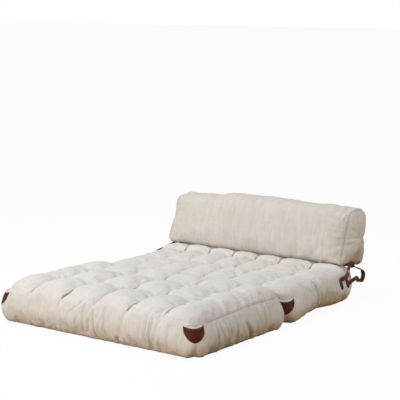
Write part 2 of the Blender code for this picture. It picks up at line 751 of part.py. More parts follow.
def build():
    """Make the whole futon mattress."""
    clear_scene()
    root = make_empty("rear_section_carrier", Vector((0.0, 0.0, 0.0)))
    front_carrier = make_empty("front_section_carrier", FOLD_AXIS, root)
    bolster_carrier = make_empty("bolster_carrier", TILT_AXIS, root)
    bpy.context.view_layer.update()

    front = Section("front", FRONT_EDGE_Y, FRONT_DEPTH, FRONT_BAND_HEIGHT,
                    FRONT_CROWN_HEIGHT, FRONT_COLUMNS, FRONT_ROWS)
    rear = Section("rear", FOLD_Y + GUSSET_GAP / 2, REAR_DEPTH, REAR_BAND_HEIGHT,
                   REAR_CROWN_HEIGHT, REAR_COLUMNS, REAR_ROWS)
    build_section(front, front_carrier)
    build_section(rear, root)
    make_node("fold_gusset", *hinge_gusset(front, rear), "linen_shade", root)

    for section, carrier in ((front, front_carrier), (rear, root)):
        for hand, side in (("left", -1), ("right", 1)):
            section.corner_patch(f"{section.name}_corner_patch_{hand}", (side, -1), carrier)

    make_node("bolster_filling", *bolster_core(), "filling", bolster_carrier)
    make_node("bolster_wrap", *bolster_wrap(), "linen", bolster_carrier)
    for hand, side in (("left", -1), ("right", 1)):
        make_node(f"bolster_end_{hand}", *bolster_end(side), "linen", bolster_carrier)
        make_node(f"strap_keeper_{hand}", *keeper(side), "leather_edge", bolster_carrier)
        make_node(f"strap_{hand}", *strap(side, rear), "leather", root)
        for place, inset in (("front", FRONT_TAB_INSET), ("rear", REAR_TAB_INSET)):
            rear.side_tab(f"strap_tab_{place}_{hand}", side, inset, root)


build()
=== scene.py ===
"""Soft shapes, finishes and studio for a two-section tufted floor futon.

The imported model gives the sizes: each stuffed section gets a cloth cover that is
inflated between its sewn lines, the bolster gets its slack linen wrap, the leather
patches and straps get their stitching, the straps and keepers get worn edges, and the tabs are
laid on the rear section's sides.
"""

import json
import logging
import math
from dataclasses import dataclass, field
from enum import Enum

import bmesh
import bpy
import numpy as np
from mathutils import Matrix, Vector
from mathutils.bvhtree import BVHTree

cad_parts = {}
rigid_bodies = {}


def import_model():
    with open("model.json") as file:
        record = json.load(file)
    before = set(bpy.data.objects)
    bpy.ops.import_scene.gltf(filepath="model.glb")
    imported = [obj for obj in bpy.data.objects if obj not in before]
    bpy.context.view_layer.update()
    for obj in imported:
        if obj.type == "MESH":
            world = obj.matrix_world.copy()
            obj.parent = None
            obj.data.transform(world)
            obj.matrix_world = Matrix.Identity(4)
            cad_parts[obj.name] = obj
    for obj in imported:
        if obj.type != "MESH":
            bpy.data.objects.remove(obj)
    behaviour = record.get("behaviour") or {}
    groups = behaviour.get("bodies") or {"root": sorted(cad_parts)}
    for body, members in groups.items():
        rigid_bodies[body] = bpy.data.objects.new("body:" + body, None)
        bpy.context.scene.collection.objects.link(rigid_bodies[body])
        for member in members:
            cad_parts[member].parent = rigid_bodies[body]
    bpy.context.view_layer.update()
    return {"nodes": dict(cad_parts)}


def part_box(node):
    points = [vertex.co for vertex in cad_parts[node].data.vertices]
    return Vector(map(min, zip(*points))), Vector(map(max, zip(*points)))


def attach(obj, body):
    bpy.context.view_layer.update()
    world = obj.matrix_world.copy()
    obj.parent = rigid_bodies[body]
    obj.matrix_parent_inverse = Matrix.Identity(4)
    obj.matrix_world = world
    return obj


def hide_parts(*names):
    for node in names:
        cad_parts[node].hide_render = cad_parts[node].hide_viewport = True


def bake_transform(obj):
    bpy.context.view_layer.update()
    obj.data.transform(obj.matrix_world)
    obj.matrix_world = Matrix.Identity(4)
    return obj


LOG = logging.getLogger("futon")
MM = 0.001
FLOOR_GAP = 0.0006
Faces = list[tuple[int, ...]]


# ------------------------------------------------------------------ plumbing
def linear_colour(hex_colour: str) -> tuple[float, float, float, float]:
    """Turn an sRGB hex colour into the linear colour that a shader takes.

    Args:
        hex_colour: Six hex digits, such as "e4ddd3".

    Returns:
        Linear red, green, blue and an alpha of 1.
    """
    parts = [int(hex_colour[i:i + 2], 16) / 255 for i in (0, 2, 4)]
    linear = [c / 12.92 if c <= 0.04045 else ((c + 0.055) / 1.055) ** 2.4 for c in parts]
    return (linear[0], linear[1], linear[2], 1.0)


def add_node(
    tree: bpy.types.NodeTree,
    kind: str,
    values: dict[int | str, object] | None = None,
    links: dict[int | str, bpy.types.NodeSocket] | None = None,
    **settings: object,
) -> bpy.types.Node:
    """Add one shader node with its settings, socket values and incoming links.

    Args:
        tree: The material's or world's node tree.
        kind: Blender's type name of the node.
        values: Constant value for each named or numbered input.
        links: Output socket that feeds each named or numbered input.
        **settings: Properties of the node itself.

    Returns:
        The new node.
    """
    node = tree.nodes.new(kind)
    for name, value in settings.items():
        setattr(node, name, value)
    for key, value in (values or {}).items():
        node.inputs[key].default_value = value
    for key, source in (links or {}).items():
        tree.links.new(source, node.inputs[key])
    return node


def new_material(name: str) -> tuple[bpy.types.Material, bpy.types.Node]:
    """Make a material and return it with its Principled shader."""
    material = bpy.data.materials.new(name)
    material.use_nodes = True
    return material, material.node_tree.nodes["Principled BSDF"]


def make_piece(name: str, points: np.ndarray, faces: Faces) -> bpy.types.Object:
    """Make a smooth-shaded mesh object and link it to the scene.

    Args:
        name: The piece's name.
        points: Vertex places in metres, one row each.
        faces: Vertex numbers of each face.

    Returns:
        The new object.
    """
    mesh = bpy.data.meshes.new(name)
    mesh.from_pydata(np.asarray(points, float).tolist(), [], faces)
    mesh.update()
    mesh.shade_smooth()
    piece = bpy.data.objects.new(name, mesh)
    bpy.context.scene.collection.objects.link(piece)
    return piece


def points_of(mesh: bpy.types.Mesh) -> np.ndarray:
    """Return a mesh's vertex places as an array."""
    flat = np.zeros(len(mesh.vertices) * 3, np.float32)
    mesh.vertices.foreach_get("co", flat)
    return flat.reshape(-1, 3).astype(float)


def set_points(mesh: bpy.types.Mesh, points: np.ndarray) -> None:
    """Move a mesh's vertices to new places."""
    mesh.vertices.foreach_set("co", np.asarray(points, np.float32).ravel())
    mesh.update()


def normals_of(mesh: bpy.types.Mesh) -> np.ndarray:
    """Return a mesh's vertex normals as an array."""
    flat = np.zeros(len(mesh.vertices) * 3, np.float32)
    mesh.vertex_normals.foreach_get("vector", flat)
    return flat.reshape(-1, 3).astype(float)


def store_painted_shade_and_wear(mesh: bpy.types.Mesh, values: np.ndarray) -> None:
    """Keep each vertex's amount of painted shade on cloth, and of edge wear on leather, for the
    finish to read.
    """
    layer = mesh.attributes.new("painted_shade_and_wear", "FLOAT", "POINT")
    layer.data.foreach_set("value", np.clip(values, 0.0, 1.0).astype(np.float32))


def subdivided(piece: bpy.types.Object, creased: np.ndarray | None = None) -> None:
    """Replace a piece's mesh by itself with one round of subdivision.

    Args:
        piece: The piece to refine.
        creased: True for each vertex of a sewn line that stays sharp.
    """
    if creased is not None:
        ends = np.zeros(len(piece.data.edges) * 2, np.int32)
        piece.data.edges.foreach_get("vertices", ends)
        sharp = creased[ends.reshape(-1, 2)].all(axis=1)
        layer = piece.data.attributes.new("crease_edge", "FLOAT", "EDGE")
        layer.data.foreach_set("value", sharp.astype(np.float32))
    refine = piece.modifiers.new("refine", "SUBSURF")
    refine.levels = 1
    refine.render_levels = 1
    graph = bpy.context.evaluated_depsgraph_get()
    fine = bpy.data.meshes.new_from_object(piece.evaluated_get(graph))
    piece.modifiers.clear()
    piece.data = fine
    piece.data.shade_smooth()


def close_base(piece: bpy.types.Object) -> None:
    """Close a cover's open foot with a flat base of shrinking rings.

    Args:
        piece: The cover, already refined.
    """
    form = bmesh.new()
    form.from_mesh(piece.data)
    edges = [edge for edge in form.edges if edge.is_boundary]
    before = 1.0
    for share in (0.93, 0.80, 0.60, 0.35, 0.10):
        grown = bmesh.ops.extrude_edge_only(form, edges=edges)["geom"]
        edges = [part for part in grown if isinstance(part, bmesh.types.BMEdge)]
        inner = [part for part in grown if isinstance(part, bmesh.types.BMVert)]
        for vertex in inner:
            vertex.co.xy *= share / before
        before = share
    bmesh.ops.pointmerge(form, verts=inner, merge_co=(0.0, 0.0, FLOOR_GAP))
    bmesh.ops.recalc_face_normals(form, faces=form.faces)
    form.to_mesh(piece.data)
    form.free()
    piece.data.shade_smooth()


def lumps(points: np.ndarray, size: float, seed: int) -> np.ndarray:
    """Smooth repeatable noise from -1 to 1 at each point.

    Args:
        points: Places in metres, one row each.
        size: Width of one lump in metres.
        seed: Chooses one pattern of lumps.

    Returns:
        One value for each point.
    """
    place = points / size
    cell = np.floor(place).astype(np.int64)
    share = place - cell
    share = share * share * (3 - 2 * share)
    total = np.zeros(len(points))
    for corner in range(8):
        step = np.array([corner & 1, corner >> 1 & 1, corner >> 2 & 1])
        key = cell + step
        mixed = key[:, 0] * 73856093 ^ key[:, 1] * 19349663 ^ key[:, 2] * 83492791
        mixed = (mixed ^ seed * 2654435761) & 0xFFFFFFFF
        mixed = ((mixed ^ mixed >> 15) * 2246822519) & 0xFFFFFFFF
        mixed = ((mixed ^ mixed >> 13) * 3266489917) & 0xFFFFFFFF
        value = (mixed >> 8 & 0xFFFF) / 32767.5 - 1
        weight = np.where(step, share, 1 - share).prod(axis=1)
        total += value * weight
    return total


def strip_faces(rows: int, columns: int, closed: bool = False) -> Faces:
    """Faces of a grid of vertices, laid out row by row.

    Args:
        rows: Number of rows.
        columns: Vertices in each row.
        closed: Whether each row closes on itself.

    Returns:
        Quads that face up when rows run along +Y and columns along +X.
    """
    last = columns if closed else columns - 1
    faces = []
    for i in range(rows - 1):
        for j in range(last):
            k = (j + 1) % columns
            low, high = i * columns, (i + 1) * columns
            faces.append((low + j, low + k, high + k, high + j))
    return faces


# ------------------------------------------------------------------ finishes
class Cloth(Enum):
    """The cloths of the futon: face colour, slub colour and a painted shade colour, mixed in where
    shade falls.
    """

    COVER_LINEN = ("e8e5e1", "d6cec4", "8d7258")
    BOLSTER_LINEN = ("e3ded6", "cdc4b7", "8d7258")
    COTTON_LINING = ("c9bda9", "b7a98f", "7a6650")


@dataclass(frozen=True)
class WovenLinen:
    """Washed undyed linen and cotton in plain weave.

    It reads as a matt, warm off-white with thick slubs that run with the thread,
    soft mottling from washing, and painted shade: a browner tone mixed in down in folds, grooves
    and seams, near the floor and under the bolster.
    """

    cloth: Cloth
    slub_width: float = 7.0 * MM
    # The real threads stand 0.8 mm apart; they are drawn at 2.4 mm so they show.
    thread_spacing: float = 2.4 * MM
    slub_stretch: float = 9.0
    # How strongly the slubs show that lie across x, y and z.
    slub_weights: tuple[float, float, float] = (1.0, 0.6, 0.25)
    slub_strength: float = 0.70
    wash_size: float = 0.16
    roughness: float = 0.94

    def build(self) -> bpy.types.Material:
        """Make the material."""
        face, slub, shade = (linear_colour(c) for c in self.cloth.value)
        material, shader = new_material(self.cloth.name.lower())
        tree = material.node_tree
        place = add_node(tree, "ShaderNodeTexCoord").outputs["Object"]
        slubs = None
        for axis, weight in enumerate(self.slub_weights):
            fine = 1 / self.slub_width
            scale = [fine / self.slub_stretch] * 3
            scale[axis] = fine
            stretch = add_node(tree, "ShaderNodeMapping", {"Scale": scale}, {"Vector": place})
            streaks = add_node(
                tree, "ShaderNodeTexNoise", {"Scale": 1.0, "Detail": 2.0, "Roughness": 0.6},
                {"Vector": stretch.outputs["Vector"]},
            )
            weighed = add_node(
                tree, "ShaderNodeMath", {1: weight, 2: 0.0}, {0: streaks.outputs["Fac"]},
                operation="MULTIPLY_ADD",
            )
            if slubs is not None:
                tree.links.new(slubs, weighed.inputs[2])
            slubs = weighed.outputs["Value"]
        middle = 0.5 * sum(self.slub_weights)
        spread = 0.11 * math.sqrt(sum(weight ** 2 for weight in self.slub_weights))
        slub_share = add_node(
            tree, "ShaderNodeMapRange",
            {"From Min": middle - 0.4 * spread, "From Max": middle + 2.4 * spread,
             "To Min": 0.0, "To Max": self.slub_strength},
            {"Value": slubs},
        )
        woven = add_node(
            tree, "ShaderNodeMix", {6: face, 7: slub}, {0: slub_share.outputs["Result"]},
            data_type="RGBA",
        )
        wash = add_node(
            tree, "ShaderNodeTexNoise", {"Scale": 1 / self.wash_size, "Detail": 3.0},
            {"Vector": place},
        )
        wash_share = add_node(
            tree, "ShaderNodeMapRange",
            {"From Min": 0.40, "From Max": 0.75, "To Min": 0.0, "To Max": 0.30},
            {"Value": wash.outputs["Fac"]},
        )
        washed = add_node(
            tree, "ShaderNodeMix", {7: slub},
            {0: wash_share.outputs["Result"], 6: woven.outputs[2]}, data_type="RGBA",
        )
        # Painted shade: the stored shade amount mixes the cloth towards its painted shade colour.
        depth = add_node(tree, "ShaderNodeAttribute", attribute_name="painted_shade_and_wear")
        folded = add_node(
            tree, "ShaderNodeMix", {7: shade},
            {0: depth.outputs["Fac"], 6: washed.outputs[2]}, data_type="RGBA",
        )
        tree.links.new(folded.outputs[2], shader.inputs["Base Color"])
        weave = None
        for axis in "XYZ":
            threads = add_node(
                tree, "ShaderNodeTexWave",
                {"Scale": 0.314 / self.thread_spacing, "Distortion": 1.2, "Detail": 1.0},
                {"Vector": place}, bands_direction=axis,
            )
            if weave is None:
                weave = threads.outputs["Fac"]
            else:
                weave = add_node(
                    tree, "ShaderNodeMath", links={0: weave, 1: threads.outputs["Fac"]},
                ).outputs["Value"]
        raised = add_node(
            tree, "ShaderNodeMath", {2: 0.0}, {0: slubs, 1: weave}, operation="ADD",
        )
        bump = add_node(
            tree, "ShaderNodeBump", {"Strength": 0.35, "Distance": 0.5 * MM},
            {"Height": raised.outputs["Value"]},
        )
        tree.links.new(bump.outputs["Normal"], shader.inputs["Normal"])
        shader.inputs["Roughness"].default_value = self.roughness
        shader.inputs["Sheen Weight"].default_value = 0.12
        shader.inputs["Sheen Roughness"].default_value = 0.5
        shader.inputs["Specular IOR Level"].default_value = 0.2
        return material


@dataclass(frozen=True)
class OiledLeather:
    """Vegetable-tanned hide, oiled and pressed.

    It reads as a deep red brown with a fine pebbled grain, slow cloudy mottling
    and a low soft sheen; worn places are lighter.
    """

    name: str
    face: str
    cloud: str
    worn: str
    grain: float = 1.6 * MM
    roughness: float = 0.52

    def build(self) -> bpy.types.Material:
        """Make the material."""
        material, shader = new_material(self.name)
        tree = material.node_tree
        place = add_node(tree, "ShaderNodeTexCoord").outputs["Object"]
        clouds = add_node(
            tree, "ShaderNodeTexNoise", {"Scale": 1 / (22 * MM), "Detail": 4.0},
            {"Vector": place},
        )
        cloudy = add_node(
            tree, "ShaderNodeMix", {6: linear_colour(self.face), 7: linear_colour(self.cloud)},
            {0: clouds.outputs["Fac"]}, data_type="RGBA",
        )
        wear = add_node(tree, "ShaderNodeAttribute", attribute_name="painted_shade_and_wear")
        worn = add_node(
            tree, "ShaderNodeMix", {7: linear_colour(self.worn)},
            {0: wear.outputs["Fac"], 6: cloudy.outputs[2]}, data_type="RGBA",
        )
        tree.links.new(worn.outputs[2], shader.inputs["Base Color"])
        pebbles = add_node(
            tree, "ShaderNodeTexVoronoi", {"Scale": 1 / self.grain}, {"Vector": place},
        )
        bump = add_node(
            tree, "ShaderNodeBump", {"Strength": 0.3, "Distance": 0.3 * MM},
            {"Height": pebbles.outputs["Distance"]},
        )
        tree.links.new(bump.outputs["Normal"], shader.inputs["Normal"])
        rough = add_node(
            tree, "ShaderNodeMapRange",
            {"To Min": self.roughness - 0.08, "To Max": self.roughness + 0.12},
            {"Value": clouds.outputs["Fac"]},
        )
        tree.links.new(rough.outputs["Result"], shader.inputs["Roughness"])
        shader.inputs["Specular IOR Level"].default_value = 0.16
        return material


@dataclass(frozen=True)
class TwistedThread:
    """Waxed cotton twine or linen thread, twisted from finer plies.

    It reads as a matt cord with slanting ply marks, with painted shade darkening the grooves
    between the plies.
    """

    name: str
    face: str
    painted_ply_shade: str
    ply: float = 1.4 * MM

    def build(self) -> bpy.types.Material:
        """Make the material."""
        material, shader = new_material(self.name)
        tree = material.node_tree
        place = add_node(tree, "ShaderNodeTexCoord").outputs["Object"]
        plies = add_node(
            tree, "ShaderNodeTexWave", {"Scale": 0.314 / self.ply, "Distortion": 2.0},
            {"Vector": place}, bands_direction="DIAGONAL",
        )
        # Painted shade: the bands that raise the plies in the bump turn dark where they dip.
        colour = add_node(
            tree, "ShaderNodeMix", {6: linear_colour(self.painted_ply_shade), 7: linear_colour(self.face)},
            {0: plies.outputs["Fac"]}, data_type="RGBA",
        )
        tree.links.new(colour.outputs[2], shader.inputs["Base Color"])
        bump = add_node(
            tree, "ShaderNodeBump", {"Strength": 0.5, "Distance": 0.3 * MM},
            {"Height": plies.outputs["Fac"]},
        )
        tree.links.new(bump.outputs["Normal"], shader.inputs["Normal"])
        shader.inputs["Roughness"].default_value = 0.8
        return material


@dataclass
class FinishSet:
    """Every material of the futon, made once and shared."""

    cover: bpy.types.Material = field(init=False)
    bolster: bpy.types.Material = field(init=False)
    lining: bpy.types.Material = field(init=False)
    leather: bpy.types.Material = field(init=False)
    dark_leather: bpy.types.Material = field(init=False)
    twine: bpy.types.Material = field(init=False)
    thread: bpy.types.Material = field(init=False)

    def __post_init__(self) -> None:
        """Build the materials."""
        self.cover = WovenLinen(Cloth.COVER_LINEN).build()
        self.bolster = WovenLinen(
            Cloth.BOLSTER_LINEN, slub_weights=(1.0, 0.2, 0.35), slub_stretch=12.0,
            slub_strength=0.55,
        ).build()
        self.lining = WovenLinen(Cloth.COTTON_LINING, slub_width=11 * MM).build()
        self.leather = OiledLeather("oiled_leather", "562210", "3f1508", "7d4429").build()
        self.dark_leather = OiledLeather(
            "burnished_leather", "451c0f", "301208", "6b3821",
        ).build()
        self.twine = TwistedThread("waxed_twine", "8f8069", "6a5c49").build()
        self.thread = TwistedThread("linen_thread", "a8977c", "86765e", 0.9 * MM).build()


# -------------------------------------------------------------- soft covers
@dataclass(frozen=True)
class Inflation:
    """How a cover is blown up between its sewn lines.

    The cloth is cut a little larger than the form, so it puckers where it is held.
    """

    excess: float
    pressure: float
    bending: float
    frames: int

    def swell(
        self, piece: bpy.types.Object, held: np.ndarray, reach: np.ndarray | float, seed: int,
    ) -> None:
        """Run the cloth on a piece and keep the result in its mesh.

        Args:
            piece: The piece, not yet carried by a body.
            held: True for each vertex that is sewn or rests on something.
            reach: How far each vertex may move, in metres.
            seed: Chooses the first small unevenness of the cloth.
        """
        start = points_of(piece.data)
        uneven = np.random.default_rng(seed).normal(0.0, 0.6 * MM, start.shape)
        set_points(piece.data, start + uneven * ~held[:, None])
        group = piece.vertex_groups.new(name="sewn")
        group.add(np.flatnonzero(held).tolist(), 1.0, "REPLACE")
        cloth = piece.modifiers.new("cloth", "CLOTH")
        rules = cloth.settings
        rules.quality = 5
        rules.mass = 0.25
        rules.tension_stiffness = 20
        rules.compression_stiffness = 20
        rules.shear_stiffness = 8
        rules.bending_stiffness = self.bending
        rules.air_damping = 2
        rules.vertex_group_mass = "sewn"
        rules.use_pressure = True
        rules.uniform_pressure_force = self.pressure
        rules.shrink_min = -self.excess
        rules.effector_weights.gravity = 0
        cloth.collision_settings.use_self_collision = False
        cloth.point_cache.frame_start = 1
        cloth.point_cache.frame_end = self.frames
        for frame_number in range(1, self.frames + 1):
            bpy.context.scene.frame_set(frame_number)
        graph = bpy.context.evaluated_depsgraph_get()
        end = points_of(piece.evaluated_get(graph).data)
        piece.modifiers.clear()
        piece.vertex_groups.clear()
        bpy.context.scene.frame_set(1)
        moved = end - start
        far = np.linalg.norm(moved, axis=1)
        limit = 1.2 * reach
        share = np.tanh(far / limit) * limit / (far + 1e-9)
        set_points(piece.data, start + moved * share[:, None])


@dataclass(frozen=True)
class Crease:
    """A fold pressed into a wall of the cover.

    It runs up from `foot` to `head`, leaning sideways by `lean` for each metre up.
    """

    wall: str
    at: float
    foot: float
    head: float
    depth: float
    width: float = 6.5 * MM
    lean: float = 0.0

    def drawn_in(self, along: np.ndarray, z: np.ndarray) -> np.ndarray:
        """How far the fold draws the cloth in at places on its wall.

        Args:
            along: Places along the wall.
            z: Heights above the floor.

        Returns:
            Depths in metres; negative where the cloth stands up beside the fold.
        """
        middle = (self.foot + self.head) / 2
        reach = (self.head - self.foot) / 2
        window = np.clip(1.15 - abs((z - middle) / reach) ** 3, 0, 1)
        aside = abs(along - self.at - self.lean * (z - middle)) / self.width
        profile = np.exp(-aside ** 1.4) - 0.35 * np.exp(-((aside - 2.3) / 1.1) ** 2)
        return self.depth * profile * window


FRONT_CREASES = (
    Crease("front", -0.478, 0.0, 0.045, 7 * MM, 6 * MM),
    Crease("front", -0.390, 0.0, 0.160, 2.2 * MM, 3.5 * MM, 0.03),
    Crease("front", -0.385, 0.0, 0.035, 7 * MM, 6 * MM),
    Crease("front", -0.306, 0.0, 0.040, 6 * MM, 7 * MM),
    Crease("front", -0.178, 0.0, 0.160, 3.0 * MM, 5 * MM, -0.02),
    Crease("front", -0.140, 0.015, 0.130, 2.5 * MM, 7 * MM, -0.15),
    Crease("front", -0.196, 0.0, 0.035, 6 * MM, 6 * MM),
    Crease("front", -0.085, 0.105, 0.185, 3.0 * MM, 7 * MM, 1.1),
    Crease("front", -0.070, 0.060, 0.135, 3.0 * MM, 8 * MM, 0.7),
    Crease("front", -0.041, 0.0, 0.175, 6.0 * MM, 7 * MM, 0.05),
    Crease("front", -0.012, 0.020, 0.120, 3.5 * MM, 6 * MM, 0.25),
    Crease("front", 0.024, 0.0, 0.150, 9.0 * MM, 7 * MM, -0.17),
    Crease("front", 0.062, 0.030, 0.140, 3.0 * MM, 6 * MM, 0.30),
    Crease("front", 0.090, 0.0, 0.165, 6.0 * MM, 6 * MM, -0.08),
    Crease("front", 0.161, 0.0, 0.045, 7 * MM, 7 * MM),
    Crease("front", 0.190, 0.050, 0.150, 2.0 * MM, 6 * MM, 0.20),
    Crease("front", 0.290, 0.030, 0.130, 2.2 * MM, 8 * MM, 0.25),
    Crease("front", 0.332, 0.0, 0.180, 5.5 * MM, 6 * MM, -0.03),
    Crease("front", 0.357, 0.0, 0.155, 7.0 * MM, 7 * MM, 0.08),
    Crease("front", 0.385, 0.040, 0.140, 2.5 * MM, 6 * MM, 0.20),
    Crease("front", 0.457, 0.0, 0.160, 3.5 * MM, 7 * MM, 0.09),
    Crease("front", 0.510, 0.020, 0.120, 2.5 * MM, 8 * MM, 0.12),
    Crease("right", -0.208, 0.0, 0.138, 6.0 * MM, 6 * MM),
    Crease("right", -0.174, 0.035, 0.138, 5.0 * MM, 5 * MM, -0.18),
    Crease("right", -0.114, 0.045, 0.125, 4.0 * MM, 6 * MM, -0.10),
    Crease("right", -0.060, 0.045, 0.156, 4.5 * MM, 5 * MM),
    Crease("right", 0.034, 0.0, 0.110, 12.0 * MM, 10 * MM, -0.55),
    Crease("right", 0.108, 0.085, 0.155, 4.0 * MM, 5 * MM, -0.15),
    Crease("right", 0.163, 0.095, 0.155, 4.0 * MM, 5 * MM),
    Crease("right", 0.238, 0.070, 0.140, 3.0 * MM, 6 * MM),
    Crease("left", 0.060, 0.0, 0.090, 7 * MM, 8 * MM, 0.10),
    Crease("left", -0.150, 0.0, 0.080, 5 * MM, 8 * MM, -0.10),
)
REAR_CREASES = (
    Crease("right", -0.136, 0.085, 0.195, 4.0 * MM, 9 * MM, -1.05),
    Crease("right", -0.068, 0.095, 0.165, 3.0 * MM, 7 * MM, -0.80),
    Crease("right", -0.010, 0.020, 0.120, 2.5 * MM, 7 * MM, -0.20),
    Crease("right", 0.025, 0.035, 0.175, 3.5 * MM, 6 * MM),
    Crease("right", 0.110, 0.050, 0.160, 2.5 * MM, 6 * MM, 0.10),
    Crease("left", -0.060, 0.0, 0.090, 6 * MM, 8 * MM, 0.10),
    Crease("rear", -0.300, 0.0, 0.100, 6 * MM, 7 * MM, 0.10),
    Crease("rear", 0.080, 0.0, 0.090, 7 * MM, 7 * MM, -0.10),
    Crease("rear", 0.360, 0.0, 0.100, 6 * MM, 8 * MM, 0.15),
)


class Surface:
    """A finished cover, on which other pieces are laid."""

    def __init__(self, piece: bpy.types.Object) -> None:
        """Read the surface of a finished piece."""
        form = bmesh.new()
        form.from_mesh(piece.data)
        self.tree = BVHTree.FromBMesh(form)
        form.free()

    def meet(self, places: np.ndarray, out: np.ndarray, reach: float = 0.05) -> np.ndarray:
        """Find where places meet the surface.

        Args:
            places: Places near the cover.
            out: Direction away from the cover at each place.
            reach: How far off the cover may lie.

        Returns:
            The nearest places on the cover along those directions.
        """
        found = places.copy()
        for k, (place, away) in enumerate(zip(places, out)):
            start = Vector(place + away * reach)
            hit = self.tree.ray_cast(start, Vector(-away), 2 * reach)[0]
            if hit is not None:
                found[k] = hit
        return found


@dataclass(frozen=True)
class Bump:
    """A soft local change of a size, strongest at one place in plan."""

    x: float
    y: float
    amount: float
    reach: float

    def at(self, x: np.ndarray, y: np.ndarray) -> np.ndarray:
        """Amount at places in plan."""
        return self.amount * np.exp(-((x - self.x) ** 2 + (y - self.y) ** 2) / self.reach ** 2)


def eased(share: np.ndarray) -> np.ndarray:
    """Clip to 0..1 and ease both ends."""
    share = np.clip(share, 0, 1)
    return share * share * (3 - 2 * share)


@dataclass
class TuftedSection:
    """One stuffed and tufted section of the mattress.

    The grid of the cover follows the sewn channels and the tuft rows, so that the
    cloth can be held along them while it swells into pillows between.
    """

    name: str
    body: str
    finishes: FinishSet
    nodes: dict[str, bpy.types.Object]
    seed: int
    open_front: bool
    lowered: bool
    fullness: tuple[tuple[float, ...], ...]
    creases: tuple[Crease, ...]
    lifts: tuple[Bump, ...] = ()
    tucks: tuple[Bump, ...] = ()
    # Pairs run from front to rear, or from left to right.
    plan_radius: tuple[float, float] = (0.058, 0.058)
    side_roll: tuple[float, float] = (0.170, 0.130)
    end_roll: tuple[float, float] = (0.120, 0.120)
    outer_rows: tuple[float, float] = (0.2, 0.2)
    row_pull: tuple[float, float] = (1.0, 1.0)
    free_right: bool = False
    cell: float = 8.5 * MM
    channel_depth: float = 0.48
    channel_end: float = 0.035
    row_depth: float = 0.15
    row_width: float = 0.055
    tuft_depth: float = 0.26
    tuft_width: float = 0.042
    slack: float = 0.84
    foot_radius: float = 0.030
    corner_foot: float = 0.045
    belly: float = 0.014
    wall_rows: int = 12
    foot_rows: int = 8

    def __post_init__(self) -> None:
        """Read the section's sizes from the frame."""
        band_low, band_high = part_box(self.name + "_side_band")
        top_low, top_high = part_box(self.name + "_tufted_top")
        self.middle_y = (band_low.y + band_high.y) / 2
        self.outer = np.array([band_high.x, (band_high.y - band_low.y) / 2])
        self.half = np.array([top_high.x, (top_high.y - top_low.y) / 2])
        self.bulge = self.outer[0] - self.half[0]
        self.band = band_high.z
        self.crown = top_high.z
        self.rows, self.channels = self.tuft_lines()
        self.slit_y = self.rows[0] - 0.085
        self.surface: Surface | None = None

    def tuft_lines(self) -> tuple[list[float], list[float]]:
        """Return the tuft rows and the channels, about the section's middle.

        Returns:
            The rows' places along the section and the channels' places across it.
        """
        rows: list[float] = []
        channels: list[float] = []
        for name in sorted(self.nodes):
            if not name.startswith(self.name + "_tuft_"):
                continue
            low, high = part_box(name)
            row, channel = (int(part) for part in name.split("_")[-2:])
            if channel == 1:
                rows.append((low.y + high.y) / 2 - self.middle_y)
            if row == 1:
                channels.append((low.x + high.x) / 2)
        return sorted(rows), sorted(channels)

    # -- the grid
    def eased_lines(self, stops: list[float], half: float) -> np.ndarray:
        """Grid lines from -half to half, closer together near each stop.

        Args:
            stops: Sewn lines between the edges.
            half: Distance from the middle to an edge.

        Returns:
            Places of the grid lines, in order.
        """
        lines = [-half]
        for low, high in zip([-half] + stops, stops + [half]):
            count = max(4, round((high - low) / self.cell))
            share = np.arange(1, count + 1) / count
            spaced = share - 0.5 * np.sin(2 * np.pi * share) / (2 * np.pi)
            lines.extend(low + (high - low) * spaced)
        return np.array(lines)

    def corner_radius(self, y: np.ndarray) -> np.ndarray:
        """Plan radius of the corners at a section's own end."""
        return np.where(y < 0, self.plan_radius[0], self.plan_radius[1])

    def from_rim(self, x: np.ndarray, y: np.ndarray) -> np.ndarray:
        """How far inside the top's rounded edge each place lies, up to a corner's radius."""
        radius = self.corner_radius(y)
        return radius - np.hypot(np.maximum(abs(x) - self.half[0] + radius, 0),
                                 np.maximum(abs(y) - self.half[1] + radius, 0))

    def lift(self, x: np.ndarray, y: np.ndarray) -> np.ndarray:
        """How much higher the edge seam is drawn at each place."""
        return sum((bump.at(x, y) for bump in self.lifts), np.zeros_like(x))

    def rounded(self, x: np.ndarray, y: np.ndarray) -> tuple[np.ndarray, np.ndarray]:
        """Move places of the square grid into the rounded plan.

        Args:
            x: Places across the section.
            y: Places along it, about its middle.

        Returns:
            The moved x and y of each place.
        """
        radius = self.corner_radius(y)
        a = np.clip((abs(x) - self.half[0] + radius) / radius, 0, 1)
        b = np.clip((abs(y) - self.half[1] + radius) / radius, 0, 1)
        corner = (a > 0) & (b > 0)
        round_x = self.half[0] - radius + radius * a * np.sqrt(1 - b * b / 2)
        round_y = self.half[1] - radius + radius * b * np.sqrt(1 - a * a / 2)
        return (np.where(corner, np.sign(x) * round_x, x),
                np.where(corner, np.sign(y) * round_y, y))

    @staticmethod
    def pillow(place: np.ndarray, stops: list[float], half: float, power: float) -> np.ndarray:
        """0 on a sewn line and 1 midway between two, with a full rounded back.

        Args:
            place: Places across the sewn lines.
            stops: Sewn lines between the edges.
            half: Distance from the middle to an edge.
            power: How square the pillow's back is.

        Returns:
            The share of the pillow's rise at each place.
        """
        result = np.ones_like(place)
        ends = [-half] + stops + [half]
        for k, (low, high) in enumerate(zip(ends, ends[1:])):
            share = np.clip((place - low) / (high - low), 0, 1)
            back = np.sqrt(np.maximum(1 - abs(2 * share - 1) ** power, 0))
            if k == 0:
                back = np.where(share < 0.5, 1.0, back)
            if k == len(ends) - 2:
                back = np.where(share > 0.5, 1.0, back)
            result = np.where((place >= low) & (place <= high), back, result)
        return result

